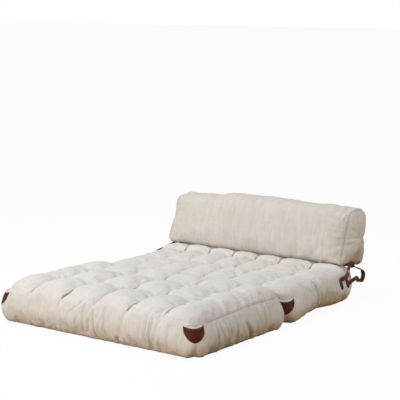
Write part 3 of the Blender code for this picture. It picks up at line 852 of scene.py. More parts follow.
    def edge_rise(self, x: np.ndarray, y: np.ndarray) -> np.ndarray:
        """How far the top has risen from its seam, from 0 at the edge to 1 inside.

        Args:
            x: Places across the section.
            y: Places along it, about its middle.

        Returns:
            The share of the rise at each place.
        """
        side_roll = np.where(x < 0, *self.side_roll)
        end_roll = np.where(y < 0, *self.end_roll)
        a = 1 - np.clip((self.half[0] - abs(x)) / side_roll, 0, 1)
        b = 1 - np.clip((self.half[1] - abs(y)) / end_roll, 0, 1)
        both = np.minimum((a ** 2.6 + b ** 2.6) ** (1 / 2.6), 1.0)
        depth = self.from_rim(x, y)
        near = np.clip(1 - depth / end_roll, 0, 1) * (depth < self.corner_radius(y))
        return np.sqrt(np.maximum(1 - np.maximum(both, near) ** 2, 0))

    def fill_at(self, x: np.ndarray, y: np.ndarray) -> np.ndarray:
        """How full the stuffing is at each place, blended from pillow to pillow.

        Args:
            x: Places across the section.
            y: Places along it, about its middle.

        Returns:
            The fullness at each place, 1 for a well filled pillow.
        """
        stops_x = np.array([-self.half[0], *self.channels, self.half[0]])
        stops_y = np.array([-self.half[1], *self.rows, self.half[1]])
        middles_x = (stops_x[:-1] + stops_x[1:]) / 2
        middles_y = (stops_y[:-1] + stops_y[1:]) / 2
        table = np.array(self.fullness)
        i = np.clip(np.searchsorted(middles_y, y) - 1, 0, len(middles_y) - 2)
        j = np.clip(np.searchsorted(middles_x, x) - 1, 0, len(middles_x) - 2)
        v = np.clip((y - middles_y[i]) / (middles_y[i + 1] - middles_y[i]), 0, 1)
        u = np.clip((x - middles_x[j]) / (middles_x[j + 1] - middles_x[j]), 0, 1)
        u, v = u * u * (3 - 2 * u), v * v * (3 - 2 * v)
        near = table[i, j] * (1 - u) + table[i, j + 1] * u
        far = table[i + 1, j] * (1 - u) + table[i + 1, j + 1] * u
        return near * (1 - v) + far * v

    def top_height(self, x: np.ndarray, y: np.ndarray, crown: float) -> np.ndarray:
        """Height of the top before it is inflated.

        Args:
            x: Places across the section.
            y: Places along it, about its middle.
            crown: Height of the fullest pillow.

        Returns:
            Height above the floor at each place.
        """
        across = self.pillow(x, self.channels, self.outer[0], 2.2)
        share = 1 - self.channel_depth * (1 - across)
        share -= self.row_depth * self.near_row(y) * self.row_hold(x) * (0.25 + 0.75 * across)
        for channel in self.channels:
            for row, pull in zip(self.rows, self.row_pull):
                gap = np.hypot(x - channel, y - row) / self.tuft_width
                share -= self.tuft_depth * pull * np.exp(-gap * gap)
        share *= self.fill_at(x, y)
        if self.lowered:
            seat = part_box("bolster_wrap")[0]
            filled = eased((y + self.middle_y - seat.y + 0.052) / 0.046)
            level = (seat.z - 0.002 + 0.012 * across - self.band) / (crown - self.band)
            share += (level - share) * filled
        rise = self.edge_rise(x, y)
        return self.band + self.lift(x, y) * (1 - rise) + (crown - self.band) * rise * share

    def row_hold(self, x: np.ndarray) -> np.ndarray:
        """How hard the tuft rows draw the top down, less in the outer columns.

        Args:
            x: Places across the section.

        Returns:
            The share of the rows' pull at each place.
        """
        last = np.where(x < 0, -self.channels[0], self.channels[-1])
        out = eased((abs(x) - last) / (0.7 * (self.half[0] - last)))
        return 1 - (1 - np.where(x < 0, *self.outer_rows)) * out

    def sewn_length(self, y: np.ndarray) -> np.ndarray:
        """1 where the channels are sewn, 0 where the bolster lies over loose cloth.

        Args:
            y: Places along the section, about its middle.

        Returns:
            The share of the seam's hold at each place.
        """
        if not self.lowered:
            return np.ones_like(y)
        return eased((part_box("bolster_wrap")[0].y + 0.006 - self.middle_y - y) / 0.016)

    def near_row(self, y: np.ndarray) -> np.ndarray:
        """1 on a tuft row, falling to 0 away from it.

        Args:
            y: Places along the section, about its middle.

        Returns:
            How near each place is to a row that pulls.
        """
        near = np.zeros_like(y)
        for row, pull in zip(self.rows, self.row_pull):
            near = np.maximum(near, pull * np.exp(-((y - row) / self.row_width) ** 2))
        return near

    def wall_swell(self, z: np.ndarray | float) -> np.ndarray | float:
        """How far the wall stands outside its seams at a height."""
        share = np.clip(z / self.band, 0, 1)
        return (self.bulge * (1 - (2 * share - 1) ** 2)
                + self.belly * 3.1 * share * (1 - share) ** 2 * 2.0)

    def plan_normals(self, rim: np.ndarray) -> np.ndarray:
        """Outward directions in plan at places on the rim.

        Args:
            rim: Places on the rim, one row each.

        Returns:
            Unit directions in plan, one row each.
        """
        inner = self.half[None, :] - self.corner_radius(rim[:, 1])[:, None]
        core = np.clip(rim[:, :2], -inner, inner)
        out = rim[:, :2] - core
        return out / np.linalg.norm(out, axis=1, keepdims=True)

    def rough_form(self) -> tuple[np.ndarray, Faces, dict[str, np.ndarray]]:
        """Lay out the cover: its top, its walls and its base.

        Returns:
            The points, the faces, and marks that tell which vertex is where.
        """
        xs = self.eased_lines(self.channels, self.half[0])
        ys = self.eased_lines(self.rows, self.half[1])
        columns, rows = len(xs), len(ys)
        grid_x, grid_y = np.meshgrid(xs, ys)
        x, y = self.rounded(grid_x, grid_y)
        fullest = self.band + (self.crown - self.band) * self.slack
        z = self.top_height(x, y, fullest)
        top = np.stack([x, y, z], axis=-1).reshape(-1, 3)
        numbers = np.arange(rows * columns).reshape(rows, columns)
        rim = np.concatenate([
            numbers[0], numbers[1:, -1], numbers[-1, -2::-1], numbers[-2:0:-1, 0],
        ])
        out = self.plan_normals(top[rim])
        corner = np.clip(abs(out[:, 0] * out[:, 1]) * 2, 0, 1)
        foot = self.foot_radius + self.corner_foot * corner
        foot += sum((tuck.at(*top[rim, :2].T) for tuck in self.tucks), 0.0)
        seam = top[rim, 2]
        rings = []
        for k in range(1, self.wall_rows + 1):
            height = seam + (foot - seam) * k / self.wall_rows
            rings.append((self.wall_swell(height), height))
        foot_out = self.wall_swell(foot)
        for k in range(1, self.foot_rows + 1):
            turn = math.pi / 2 * k / self.foot_rows
            rings.append((foot_out - foot * (1 - math.cos(turn)),
                          FLOOR_GAP + foot * (1 - math.sin(turn))))
        parts = [top]
        for outset, height in rings:
            flat = top[rim, :2] + out * outset[:, None]
            parts.append(np.column_stack([flat, height]))
        points = np.concatenate(parts)
        faces = strip_faces(rows, columns)
        loops = [rim] + [
            rows * columns + len(rim) * k + np.arange(len(rim)) for k in range(len(rings))
        ]
        ahead = np.roll(np.arange(len(rim)), -1)
        for upper, lower in zip(loops, loops[1:]):
            faces += [tuple(f) for f in np.column_stack(
                [lower, lower[ahead], upper[ahead], upper]).tolist()]
        return points, faces, self.marks(points, grid_x, loops)

    def marks(
        self, points: np.ndarray, grid_x: np.ndarray, loops: list[np.ndarray],
    ) -> dict[str, np.ndarray]:
        """Tell which vertices are sewn, creased or on the floor.

        Args:
            points: All points of the rough form.
            grid_x: Channel coordinate of each top vertex.
            loops: Vertex numbers of the top's edge and of each ring of the wall.

        Returns:
            A mask for each kind of vertex.
        """
        total = len(points)
        channel = np.zeros(total, bool)
        flat_x = grid_x.ravel()
        for place in self.channels:
            channel[:len(flat_x)] |= abs(flat_x - place) < 1e-6
        channel &= self.sewn_length(points[:, 1]) > 0.5
        edge = np.zeros(total, bool)
        edge[loops[0]] = True
        edge &= self.has_seam(points[:, 0], points[:, 1])
        if self.open_front:
            channel &= points[:, 1] > -self.half[1] + self.channel_end
        floor = np.zeros(total, bool)
        for loop in loops[-2:]:
            floor[loop] = True
        return {"channel": channel, "edge": edge, "floor": floor}

    def has_seam(self, x: np.ndarray, y: np.ndarray) -> np.ndarray:
        """True where the top is joined to the band by a seam that holds it in.

        Args:
            x: Places across the section.
            y: Places along it, about its middle.

        Returns:
            Whether each place of the edge is held.
        """
        seam = np.ones(x.shape, bool)
        if self.open_front:
            seam &= ~((y < -self.half[1] + 0.03)
                      & (abs(x) < self.half[0] - 0.8 * self.plan_radius[0]))
        if self.free_right:
            seam &= ~((x > self.half[0] - 0.09) & (y > -self.half[1] + 0.085))
        return seam

    def near_leather(self, points: np.ndarray) -> np.ndarray:
        """How much a patch or a tab stiffens the wall at each place, from 0 to 1.

        Args:
            points: Places on the cover, about the section's middle.

        Returns:
            The share by which the cloth is kept from moving.
        """
        x, y, z = points.T
        corner = eased((abs(x) - self.half[0] + 0.066) / 0.02) * eased(
            (-y - self.half[1] + 0.066) / 0.02)
        top = self.band + self.lift(x, y)
        beside = corner * eased((top - 0.002 - z) / 0.008) * eased((z - top + 0.095) / 0.02)
        if not self.lowered:
            return beside
        low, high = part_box("strap_tab_front_right")
        rear_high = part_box("strap_tab_rear_right")[1]
        place = y + self.middle_y
        tabs = eased((place - low.y + 0.03) / 0.02) * eased((rear_high.y + 0.03 - place) / 0.02)
        tabs *= eased((abs(x) - self.half[0] + 0.012) / 0.008)
        tabs *= eased((high.z + 0.03 - z) / 0.015) * eased((z - low.z + 0.03) / 0.015)
        return np.maximum(beside, tabs)

    # -- the finished cover
    def build(self) -> bpy.types.Object:
        """Inflate, refine, pucker and dress the section's cover.

        Returns:
            The finished cover.
        """
        points, faces, marks = self.rough_form()
        piece = make_piece(self.name + "_cover", points, faces)
        points[:, 2] += lumps(points, 0.11, self.seed) * 1.4 * MM * marks["edge"]
        set_points(piece.data, points)
        held = marks["channel"] | marks["edge"] | marks["floor"]
        above = eased((points[:, 2] - 0.9 * self.band) / 0.03)
        rows = self.near_row(points[:, 1]) * self.row_hold(points[:, 0]) * above
        reach = (15 + 9 * above) * MM * (1 - 0.55 * rows)
        reach += (3 * MM - reach) * self.near_leather(points)
        Inflation(excess=0.055, pressure=3.4, bending=0.5, frames=20).swell(
            piece, held, reach, self.seed)
        self.level_crowns(piece)
        subdivided(piece, marks["channel"])
        close_base(piece)
        shade = self.pucker(piece)
        self.keep_clear(piece)
        store_painted_shade_and_wear(piece.data, shade)
        piece.data.transform(Matrix.Translation((0.0, self.middle_y, 0.0)))
        self.dress(piece)
        self.surface = Surface(piece)
        return piece

    def level_crowns(self, piece: bpy.types.Object) -> None:
        """Scale what stands above the seam so that the fullest pillow is a crown high.

        Args:
            piece: The cover, already swollen.
        """
        points = points_of(piece.data)
        above = points[:, 2] > self.band
        if not above.any():
            return
        fullest = np.quantile(points[above, 2], 0.99)
        scale = (self.crown - self.band) / (fullest - self.band)
        points[above, 2] = self.band + (points[above, 2] - self.band) * scale
        set_points(piece.data, points)

    def pucker(self, piece: bpy.types.Object) -> np.ndarray:
        """Add channel grooves, tuft creases and folds to the fine cover, and paint shade into
        them.

        Args:
            piece: The cover, already refined.

        Returns:
            How much painted shade each vertex gets, from 0 to 1.
        """
        points = points_of(piece.data)
        normals = normals_of(piece.data)
        x, y, z = points.T
        shift = lumps(points, 0.10, self.seed + 1) * 2.6 * MM
        shift += lumps(points, 0.035, self.seed + 2) * 0.7 * MM
        upright = np.clip((self.band * 1.1 - z) / (0.3 * self.band), 0, 1)
        crushed = lumps(points * (1.0, 1.0, 0.16), 0.011, self.seed + 3)
        shift += crushed * upright * 1.3 * MM * (0.6 + 0.5 * lumps(points, 0.13, self.seed + 4))
        shade = np.zeros(len(points))
        on_top = np.clip((z - self.band - 0.008) / 0.008, 0, 1) * self.sewn_length(y)
        for k, channel in enumerate(self.channels):
            gap = x - channel
            near = np.exp(-(gap / (14 * MM)) ** 2) * on_top
            wave = np.sin(y / (8 * MM) + 3 * lumps(points, 0.06, self.seed + 10 + k))
            shift += near * (1 - np.exp(-(gap / (5 * MM)) ** 2)) * wave * 0.9 * MM
            slit = 0.35 * np.exp(-((y - self.slit_y) / 0.045) ** 2)
            shift -= np.exp(-(gap / (3.0 * MM)) ** 2) * on_top * (4.0 + 7 * slit) * MM
            # Painted shade in the channel grooves, darker and wider at the slits near the front
            # ends.
            wide = (2.6 + 5 * slit) * MM
            shade = np.maximum(shade, np.exp(-(gap / wide) ** 2) * on_top * (0.80 + 0.55 * slit))
            for row in self.rows:
                away = np.hypot(gap, y - row)
                turn = np.arctan2(y - row, gap)
                crease = np.cos(5 * turn + 1.7 * k + 2 * lumps(points, 0.05, self.seed + 30))
                ring = np.exp(-((away - 28 * MM) / (20 * MM)) ** 2) * on_top
                shift += crease * ring * 1.8 * MM
        folds = self.folds(points)
        shift -= folds
        # Painted shade in the folds of the walls, stronger low down.
        low = np.clip((self.band - z) / self.band, 0, 1)
        shade = np.maximum(shade, np.clip(folds / (7 * MM), 0, 1) * (0.12 + 0.50 * low))
        shift *= 1 - self.near_leather(points)
        seam = self.near_seam(x, y, z)
        shift -= seam * 1.6 * MM
        # Painted shade in the groove of the edge seam.
        shade = np.maximum(shade, seam * 0.38)
        # Painted shade, darker towards the floor.
        shade = np.maximum(shade, 0.55 * np.exp(-(z - FLOOR_GAP) / 0.016))
        if self.lowered:
            # Painted shadow along the foot of the bolster, where it rests on the top.
            under = y + self.middle_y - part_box("bolster_wrap")[0].y - 0.008
            shade = np.maximum(shade, 0.5 * np.exp(-(np.minimum(under, 0) / 0.006) ** 2)
                               * (z > self.band))
        shift *= np.clip((z - FLOOR_GAP) / 0.005, 0, 1)
        set_points(piece.data, points + normals * shift[:, None])
        return shade

    def near_seam(self, x: np.ndarray, y: np.ndarray, z: np.ndarray) -> np.ndarray:
        """How near each place is to the sewn edge, from 0 to 1.

        Args:
            x: Places across the section.
            y: Places along it, about its middle.
            z: Heights above the floor.

        Returns:
            The nearness, 0 where the edge has no seam.
        """
        off = z - self.band - self.lift(x, y)
        near = np.exp(-(off / (2.6 * MM)) ** 2) * (abs(self.from_rim(x, y)) < 0.015)
        return near * self.has_seam(x, y)

    def folds(self, points: np.ndarray) -> np.ndarray:
        """How far the folds of the walls draw the cloth in at each place.

        Args:
            points: Places on the cover, about the section's middle.

        Returns:
            Depths in metres.
        """
        rng = np.random.default_rng(self.seed + 5)
        x, y, z = points.T
        bent = lumps(points, 0.07, self.seed + 6) * 5 * MM
        walls = {
            "front": (eased((0.060 - abs(y + self.outer[1])) / 0.025), x, self.half[0]),
            "rear": (eased((0.060 - abs(y - self.outer[1])) / 0.025), x, self.half[0]),
            "right": (eased((0.060 - abs(x - self.outer[0])) / 0.025), y, self.half[1]),
            "left": (eased((0.060 - abs(x + self.outer[0])) / 0.025), y, self.half[1]),
        }
        creases = list(self.creases)
        for wall, (_, _, half) in walls.items():
            at = -half + 0.06
            while at < half - 0.06:
                foot = rng.uniform(0.0, 0.25) * self.band
                creases.append(Crease(
                    wall, at, foot, foot + rng.uniform(0.3, 0.5) * self.band,
                    rng.uniform(0.6, 2.0) * MM, rng.uniform(5, 9) * MM,
                    rng.uniform(-0.25, 0.25)))
                if wall != "front":
                    gather = rng.uniform(0.30, 0.62) * self.band
                    creases.append(Crease(
                        wall, at + rng.uniform(0.008, 0.018), gather, self.band + 0.004,
                        rng.uniform(0.8, 2.2) * MM, rng.uniform(3.5, 5.5) * MM,
                        rng.uniform(-0.08, 0.08)))
                at += rng.uniform(0.022, 0.050)
        depth = np.zeros(len(points))
        for crease in creases:
            on_wall, along, _ = walls[crease.wall]
            depth += crease.drawn_in(along + bent, z) * on_wall
        return depth

    def keep_clear(self, piece: bpy.types.Object) -> None:
        """Hold the cover off the floor, its neighbour and the bolster.

        Args:
            piece: The cover.
        """
        points = points_of(piece.data)
        points[:, 2] = np.maximum(points[:, 2], FLOOR_GAP)
        inner_edge = self.outer[1] + 0.4 * MM
        if self.lowered:
            points[:, 1] = np.maximum(points[:, 1], -inner_edge)
            self.press_seat(points)
        else:
            points[:, 1] = np.minimum(points[:, 1], inner_edge)
        set_points(piece.data, points)

    def press_seat(self, points: np.ndarray) -> None:
        """Flatten what the bolster lies on, up to its rounded lower edge.

        Args:
            points: Places on the cover, changed where they stand.
        """
        low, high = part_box("bolster_wrap")
        y = points[:, 1] + self.middle_y
        under = eased((y - low.y + 0.003) / 0.004)
        under *= eased((high.x + 0.035 - abs(points[:, 0])) / 0.02)
        edge = 0.026
        inset = np.clip(edge - (y - low.y), 0, edge)
        limit = low.z - 0.8 * MM + edge - np.sqrt(edge ** 2 - inset ** 2)
        lowered = np.minimum(points[:, 2], limit)
        points[:, 2] += (lowered - points[:, 2]) * under

    def dress(self, piece: bpy.types.Object) -> None:
        """Give the cover its cloths and put it on its body.

        Args:
            piece: The cover.
        """
        piece.data.materials.append(self.finishes.cover)
        piece.data.materials.append(self.finishes.lining)
        centres = np.zeros(len(piece.data.polygons) * 3, np.float32)
        piece.data.polygons.foreach_get("center", centres)
        below = centres.reshape(-1, 3)[:, 2] < 1.5 * MM
        piece.data.polygons.foreach_set("material_index", below.astype(np.int32))
        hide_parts(self.name + "_tufted_top", self.name + "_side_band",
                    self.name + "_bottom_panel", self.name + "_filling")
        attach(piece, self.body)


# ------------------------------------------------------------ sewn details
def tube(path: np.ndarray, radius: float, sides: int = 6) -> tuple[np.ndarray, Faces]:
    """Build a round cord along a path, drawn to a point at both ends.

    Args:
        path: Points along the cord's middle.
        radius: Its radius in metres.
        sides: Number of flats round it.

    Returns:
        Points and faces.
    """
    ahead = np.gradient(path, axis=0)
    ahead /= np.linalg.norm(ahead, axis=1, keepdims=True)
    guide = np.array([0.31, 0.17, 0.93])
    side = np.cross(ahead, guide)
    side /= np.linalg.norm(side, axis=1, keepdims=True)
    up = np.cross(side, ahead)
    turn = np.arange(sides) * 2 * math.pi / sides
    girth = np.full(len(path), radius)
    girth[0] = girth[-1] = radius * 0.35
    ring = (side[:, None] * np.cos(turn)[None, :, None]
            + up[:, None] * np.sin(turn)[None, :, None])
    points = (path[:, None] + ring * girth[:, None, None]).reshape(-1, 3)
    faces = [tuple(reversed(f)) for f in strip_faces(len(path), sides, closed=True)]
    faces.append(tuple(range(sides)))
    faces.append(tuple(reversed(range(len(points) - sides, len(points)))))
    return points, faces


def gathered(parts: list[tuple[np.ndarray, Faces]]) -> tuple[np.ndarray, Faces]:
    """Join several sets of points and faces into one."""
    points: list[np.ndarray] = []
    faces: Faces = []
    start = 0
    for more, more_faces in parts:
        points.append(more)
        faces += [tuple(n + start for n in face) for face in more_faces]
        start += len(more)
    return np.concatenate(points), faces


def smooth_path(stations: np.ndarray, spacing: float) -> np.ndarray:
    """Run a smooth curve through stations and space points along it evenly.

    Args:
        stations: Places the curve passes through; extra columns are carried along.
        spacing: Distance between points in metres.

    Returns:
        The evenly spaced rows.
    """
    padded = np.vstack([2 * stations[0] - stations[1], stations,
                        2 * stations[-1] - stations[-2]])
    rows = []
    for a, b, c, d in zip(padded, padded[1:], padded[2:], padded[3:]):
        for share in np.arange(16) / 16:
            rows.append(0.5 * (2 * b + (c - a) * share
                               + (2 * a - 5 * b + 4 * c - d) * share ** 2
                               + (3 * b - a - 3 * c + d) * share ** 3))
    rows.append(stations[-1])
    dense = np.array(rows)
    run = np.r_[0, np.cumsum(np.linalg.norm(np.diff(dense[:, :3], axis=0), axis=1))]
    stops = np.linspace(0, run[-1], max(2, round(run[-1] / spacing) + 1))
    return np.column_stack([np.interp(stops, run, dense[:, k]) for k in range(dense.shape[1])])


def stitch_run(
    path: np.ndarray,
    lift: np.ndarray,
    pitch: float = 5.0 * MM,
    stitch: float = 3.4 * MM,
    radius: float = 0.45 * MM,
) -> tuple[np.ndarray, Faces]:
    """Lay a row of saddle stitches along a path.

    Args:
        path: Points along the stitching line, on the surface.
        lift: Outward direction of the surface at each point.
        pitch: Distance from one stitch to the next.
        stitch: Length of the thread that shows.
        radius: Radius of the thread.

    Returns:
        Points and faces of all the stitches.
    """
    run = np.r_[0, np.cumsum(np.linalg.norm(np.diff(path, axis=0), axis=1))]
    both = np.column_stack([path, lift])
    parts = []
    for k in range(int(run[-1] / pitch)):
        stops = k * pitch + np.linspace(0, stitch, 4) + 0.5 * (pitch - stitch)
        rows = np.column_stack([np.interp(stops, run, both[:, c]) for c in range(6)])
        hump = np.array([-0.6, 0.5, 0.5, -0.6]) * radius
        parts.append(tube(rows[:, :3] + rows[:, 3:] * hump[:, None], radius, 5))
    return gathered(parts)


@dataclass
class LeatherPatch:
    """A shield of leather sewn round an upright corner of a section."""

    section: TuftedSection
    side: str
    below_seam: float = 0.003
    half_width: float = 0.047
    height: float = 0.070
    notch: float = 0.010
    thickness: float = 1.8 * MM
    rows: int = 22
    columns: int = 29

    def rim_place(self, along: np.ndarray) -> tuple[np.ndarray, np.ndarray]:
        """Place and outward direction on the section's edge near its front corner.

        Args:
            along: Distance round the corner, 0 on its diagonal, towards the side.

        Returns:
            Plan places and outward directions.
        """
        radius = self.section.plan_radius[0]
        arc = radius * math.pi / 4
        turn = np.clip(along / radius, -math.pi / 4, math.pi / 4) - math.pi / 4
        out = np.column_stack([np.cos(turn), np.sin(turn)])
        core = np.array([self.section.half[0] - radius, -self.section.half[1] + radius])
        place = core + out * radius
        place[:, 1] += np.maximum(along - arc, 0)
        place[:, 0] -= np.maximum(-along - arc, 0)
        if self.side == "left":
            place[:, 0] *= -1
            out[:, 0] *= -1
        return place, out

    def place(self, across: np.ndarray, down: np.ndarray) -> tuple[np.ndarray, np.ndarray]:
        """Place and outward direction on the wall for points of the shield.

        Args:
            across: From -1 at one edge of the shield to 1 at the other.
            down: From 0 at its top to 1 at its tip.

        Returns:
            Places on the bare wall and outward directions.
        """
        width = self.half_width * np.maximum(1 - down ** 1.5, 0) ** 0.65
        plan, out = self.rim_place(across * width)
        seam = self.section.band + self.section.lift(*plan.T) - self.below_seam
        top = seam - self.notch * (1 - across ** 2)
        z = top + (seam - self.height - top) * down
        swell = self.section.wall_swell(z)
        places = np.column_stack([plan + out * swell[:, None], z])
        places[:, 1] += self.section.middle_y
        return places, np.column_stack([out, np.zeros(len(out))])

    def build(self, finishes: FinishSet) -> None:
        """Cut, lay and stitch the patch."""
        name = f"{self.section.name}_corner_patch_{self.side}"
        v, u = np.meshgrid(
            np.linspace(0, 1, self.rows) ** 0.8, np.linspace(-1, 1, self.columns), indexing="ij")
        places, out = self.place(u.ravel(), v.ravel())
        seated = self.section.surface.meet(places, out)
        edge = np.minimum(np.minimum(1 - abs(u), v), 1 - v).ravel()
        rise = self.thickness * (0.72 + 0.28 * np.clip(edge / 0.08, 0, 1))
        face = seated + out * (rise + 0.3 * MM)[:, None]
        back = seated - out * (0.4 * MM)
        count = self.rows * self.columns
        skin = strip_faces(self.rows, self.columns)
        if self.side == "right":
            skin = [tuple(reversed(f)) for f in skin]
        faces = list(skin)
        faces += [tuple(n + count for n in reversed(f)) for f in skin]
        numbers = np.arange(count).reshape(self.rows, self.columns)
        border = np.concatenate([
            numbers[0], numbers[1:, -1], numbers[-1, -2::-1], numbers[-2:0:-1, 0]])
        ahead = np.roll(border, -1)
        for a, b in zip(border.tolist(), ahead.tolist()):
            quad = (a, b, b + count, a + count)
            faces.append(quad if self.side == "right" else tuple(reversed(quad)))
        piece = make_piece(name + "_leather", np.concatenate([face, back]), faces)
        weld(piece)
        piece.data.materials.append(finishes.leather)
        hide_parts(name)
        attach(piece, self.section.body)
        self.stitch(name, finishes)

    def stitch(self, name: str, finishes: FinishSet) -> None:
        """Sew the patch down with one row of stitches inside its edge.

        Args:
            name: Name of the new piece.
            finishes: Where its thread comes from.
        """
        inset = 0.90
        step = np.linspace(-inset, inset, 40)
        side = np.linspace(0.06, 0.955, 50)
        across = np.concatenate([step, np.full(50, inset), -np.full(50, inset), [-inset]])
        down = np.concatenate([np.full(40, 0.055), side, side[::-1], [0.055]])
        places, out = self.place(across, down)
        seated = self.section.surface.meet(places, out) + out * (self.thickness + 0.35 * MM)
        points, faces = stitch_run(seated, out)
        piece = make_piece(name + "_stitches", points, faces)
        piece.data.materials.append(finishes.thread)
        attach(piece, self.section.body)


def weld(piece: bpy.types.Object) -> None:
    """Join vertices that lie on one another and drop empty faces."""
    form = bmesh.new()
    form.from_mesh(piece.data)
    bmesh.ops.remove_doubles(form, verts=form.verts, dist=0.02 * MM)
    bmesh.ops.dissolve_degenerate(form, edges=form.edges, dist=0.01 * MM)
    bmesh.ops.recalc_face_normals(form, faces=form.faces)
    form.to_mesh(piece.data)
    form.free()
    piece.data.shade_smooth()


@dataclass
class TwineTufts:
    """The knots of waxed twine that pull the channels down."""

    section: TuftedSection
    twine: float = 1.2 * MM
    span: float = 5.0 * MM
    tail: float = 6.0 * MM

    def knot(self, middle: np.ndarray, seed: int) -> tuple[np.ndarray, Faces]:
        """Wind one knot.

        Args:
            middle: Its place on the cover.
            seed: Chooses how it is turned.

        Returns:
            Points and faces.
        """
        rng = np.random.default_rng(seed)
        parts = []
        heading = rng.uniform(0, math.pi)
        for k in range(3):
            turn = heading + k * 1.05 + rng.uniform(-0.2, 0.2)
            share = np.linspace(-1, 1, 9)
            flat = np.outer(share, [math.cos(turn), math.sin(turn)]) * self.span
            rise = self.twine * (1.6 + k * 0.9) * np.sqrt(np.maximum(1 - share ** 2, 0))
            parts.append(tube(np.column_stack([flat, rise - 1.5 * self.twine]), self.twine))
        for side in (-1, 1):
            turn = heading + side * 0.6 + (0 if side < 0 else math.pi / 2)
            share = np.linspace(0, 1, 7)
            flat = np.outer(share, [math.cos(turn), math.sin(turn)]) * self.tail
            rise = self.twine * 2.2 + 3.5 * MM * np.sin(share * 2.4)
            parts.append(tube(np.column_stack([flat, rise]), self.twine * 0.7, 5))
        points, faces = gathered(parts)
        return points + middle, faces

    def build(self, finishes: FinishSet) -> None:
        """Tie every knot of the section on its cover."""
        for i, y in enumerate(self.section.rows, 1):
            for j, x in enumerate(self.section.channels, 1):
                name = f"{self.section.name}_tuft_{i}_{j}"
                above = np.array([[x, y + self.section.middle_y, 0.3]])
                seat = self.section.surface.meet(above, np.array([[0.0, 0.0, 1.0]]), 0.3)[0]
                points, faces = self.knot(seat, self.section.seed * 100 + i * 10 + j)
                piece = make_piece(name + "_knot", points, faces)
                piece.data.materials.append(finishes.twine)
                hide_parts(name)
                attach(piece, self.section.body)


@dataclass
class FoldGusset:
    """The strip of cloth that joins the two sections inside the fold."""

    spread: float = 1.4 * MM
    thickness: float = 0.9 * MM
    columns: int = 90
    rows: int = 24

    def build(self, finishes: FinishSet) -> None:
        """Hang the strip from both seams, folded down between the sections."""
        low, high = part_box("fold_gusset")
        middle = (low.y + high.y) / 2
        x = np.linspace(low.x, high.x, self.columns)
        share = np.linspace(-1, 1, self.rows)
        depth = (high.z - low.z) * (1 - abs(share) ** 1.6)
        layers = []
        for offset in (0.0, self.thickness):
            u, v = np.meshgrid(x, share)
            z = high.z - depth[:, None] - offset + 1.5 * MM * np.sin(u * 60) * (1 - v ** 2)
            layers.append(np.stack([u, middle + v * self.spread / 2, z], -1).reshape(-1, 3))
        count = len(layers[0])
        skin = strip_faces(self.rows, self.columns)
        faces = skin + [tuple(n + count for n in reversed(f)) for f in skin]
        numbers = np.arange(count).reshape(self.rows, self.columns)
        border = np.concatenate([
            numbers[0], numbers[1:, -1], numbers[-1, -2::-1], numbers[-2:0:-1, 0]])
        for a, b in zip(border.tolist(), np.roll(border, -1).tolist()):
            faces.append((b, a, a + count, b + count))
        piece = make_piece("fold_gusset_cloth", np.concatenate(layers), faces)
        piece.data.materials.append(finishes.lining)
        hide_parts("fold_gusset")
        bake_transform(piece)


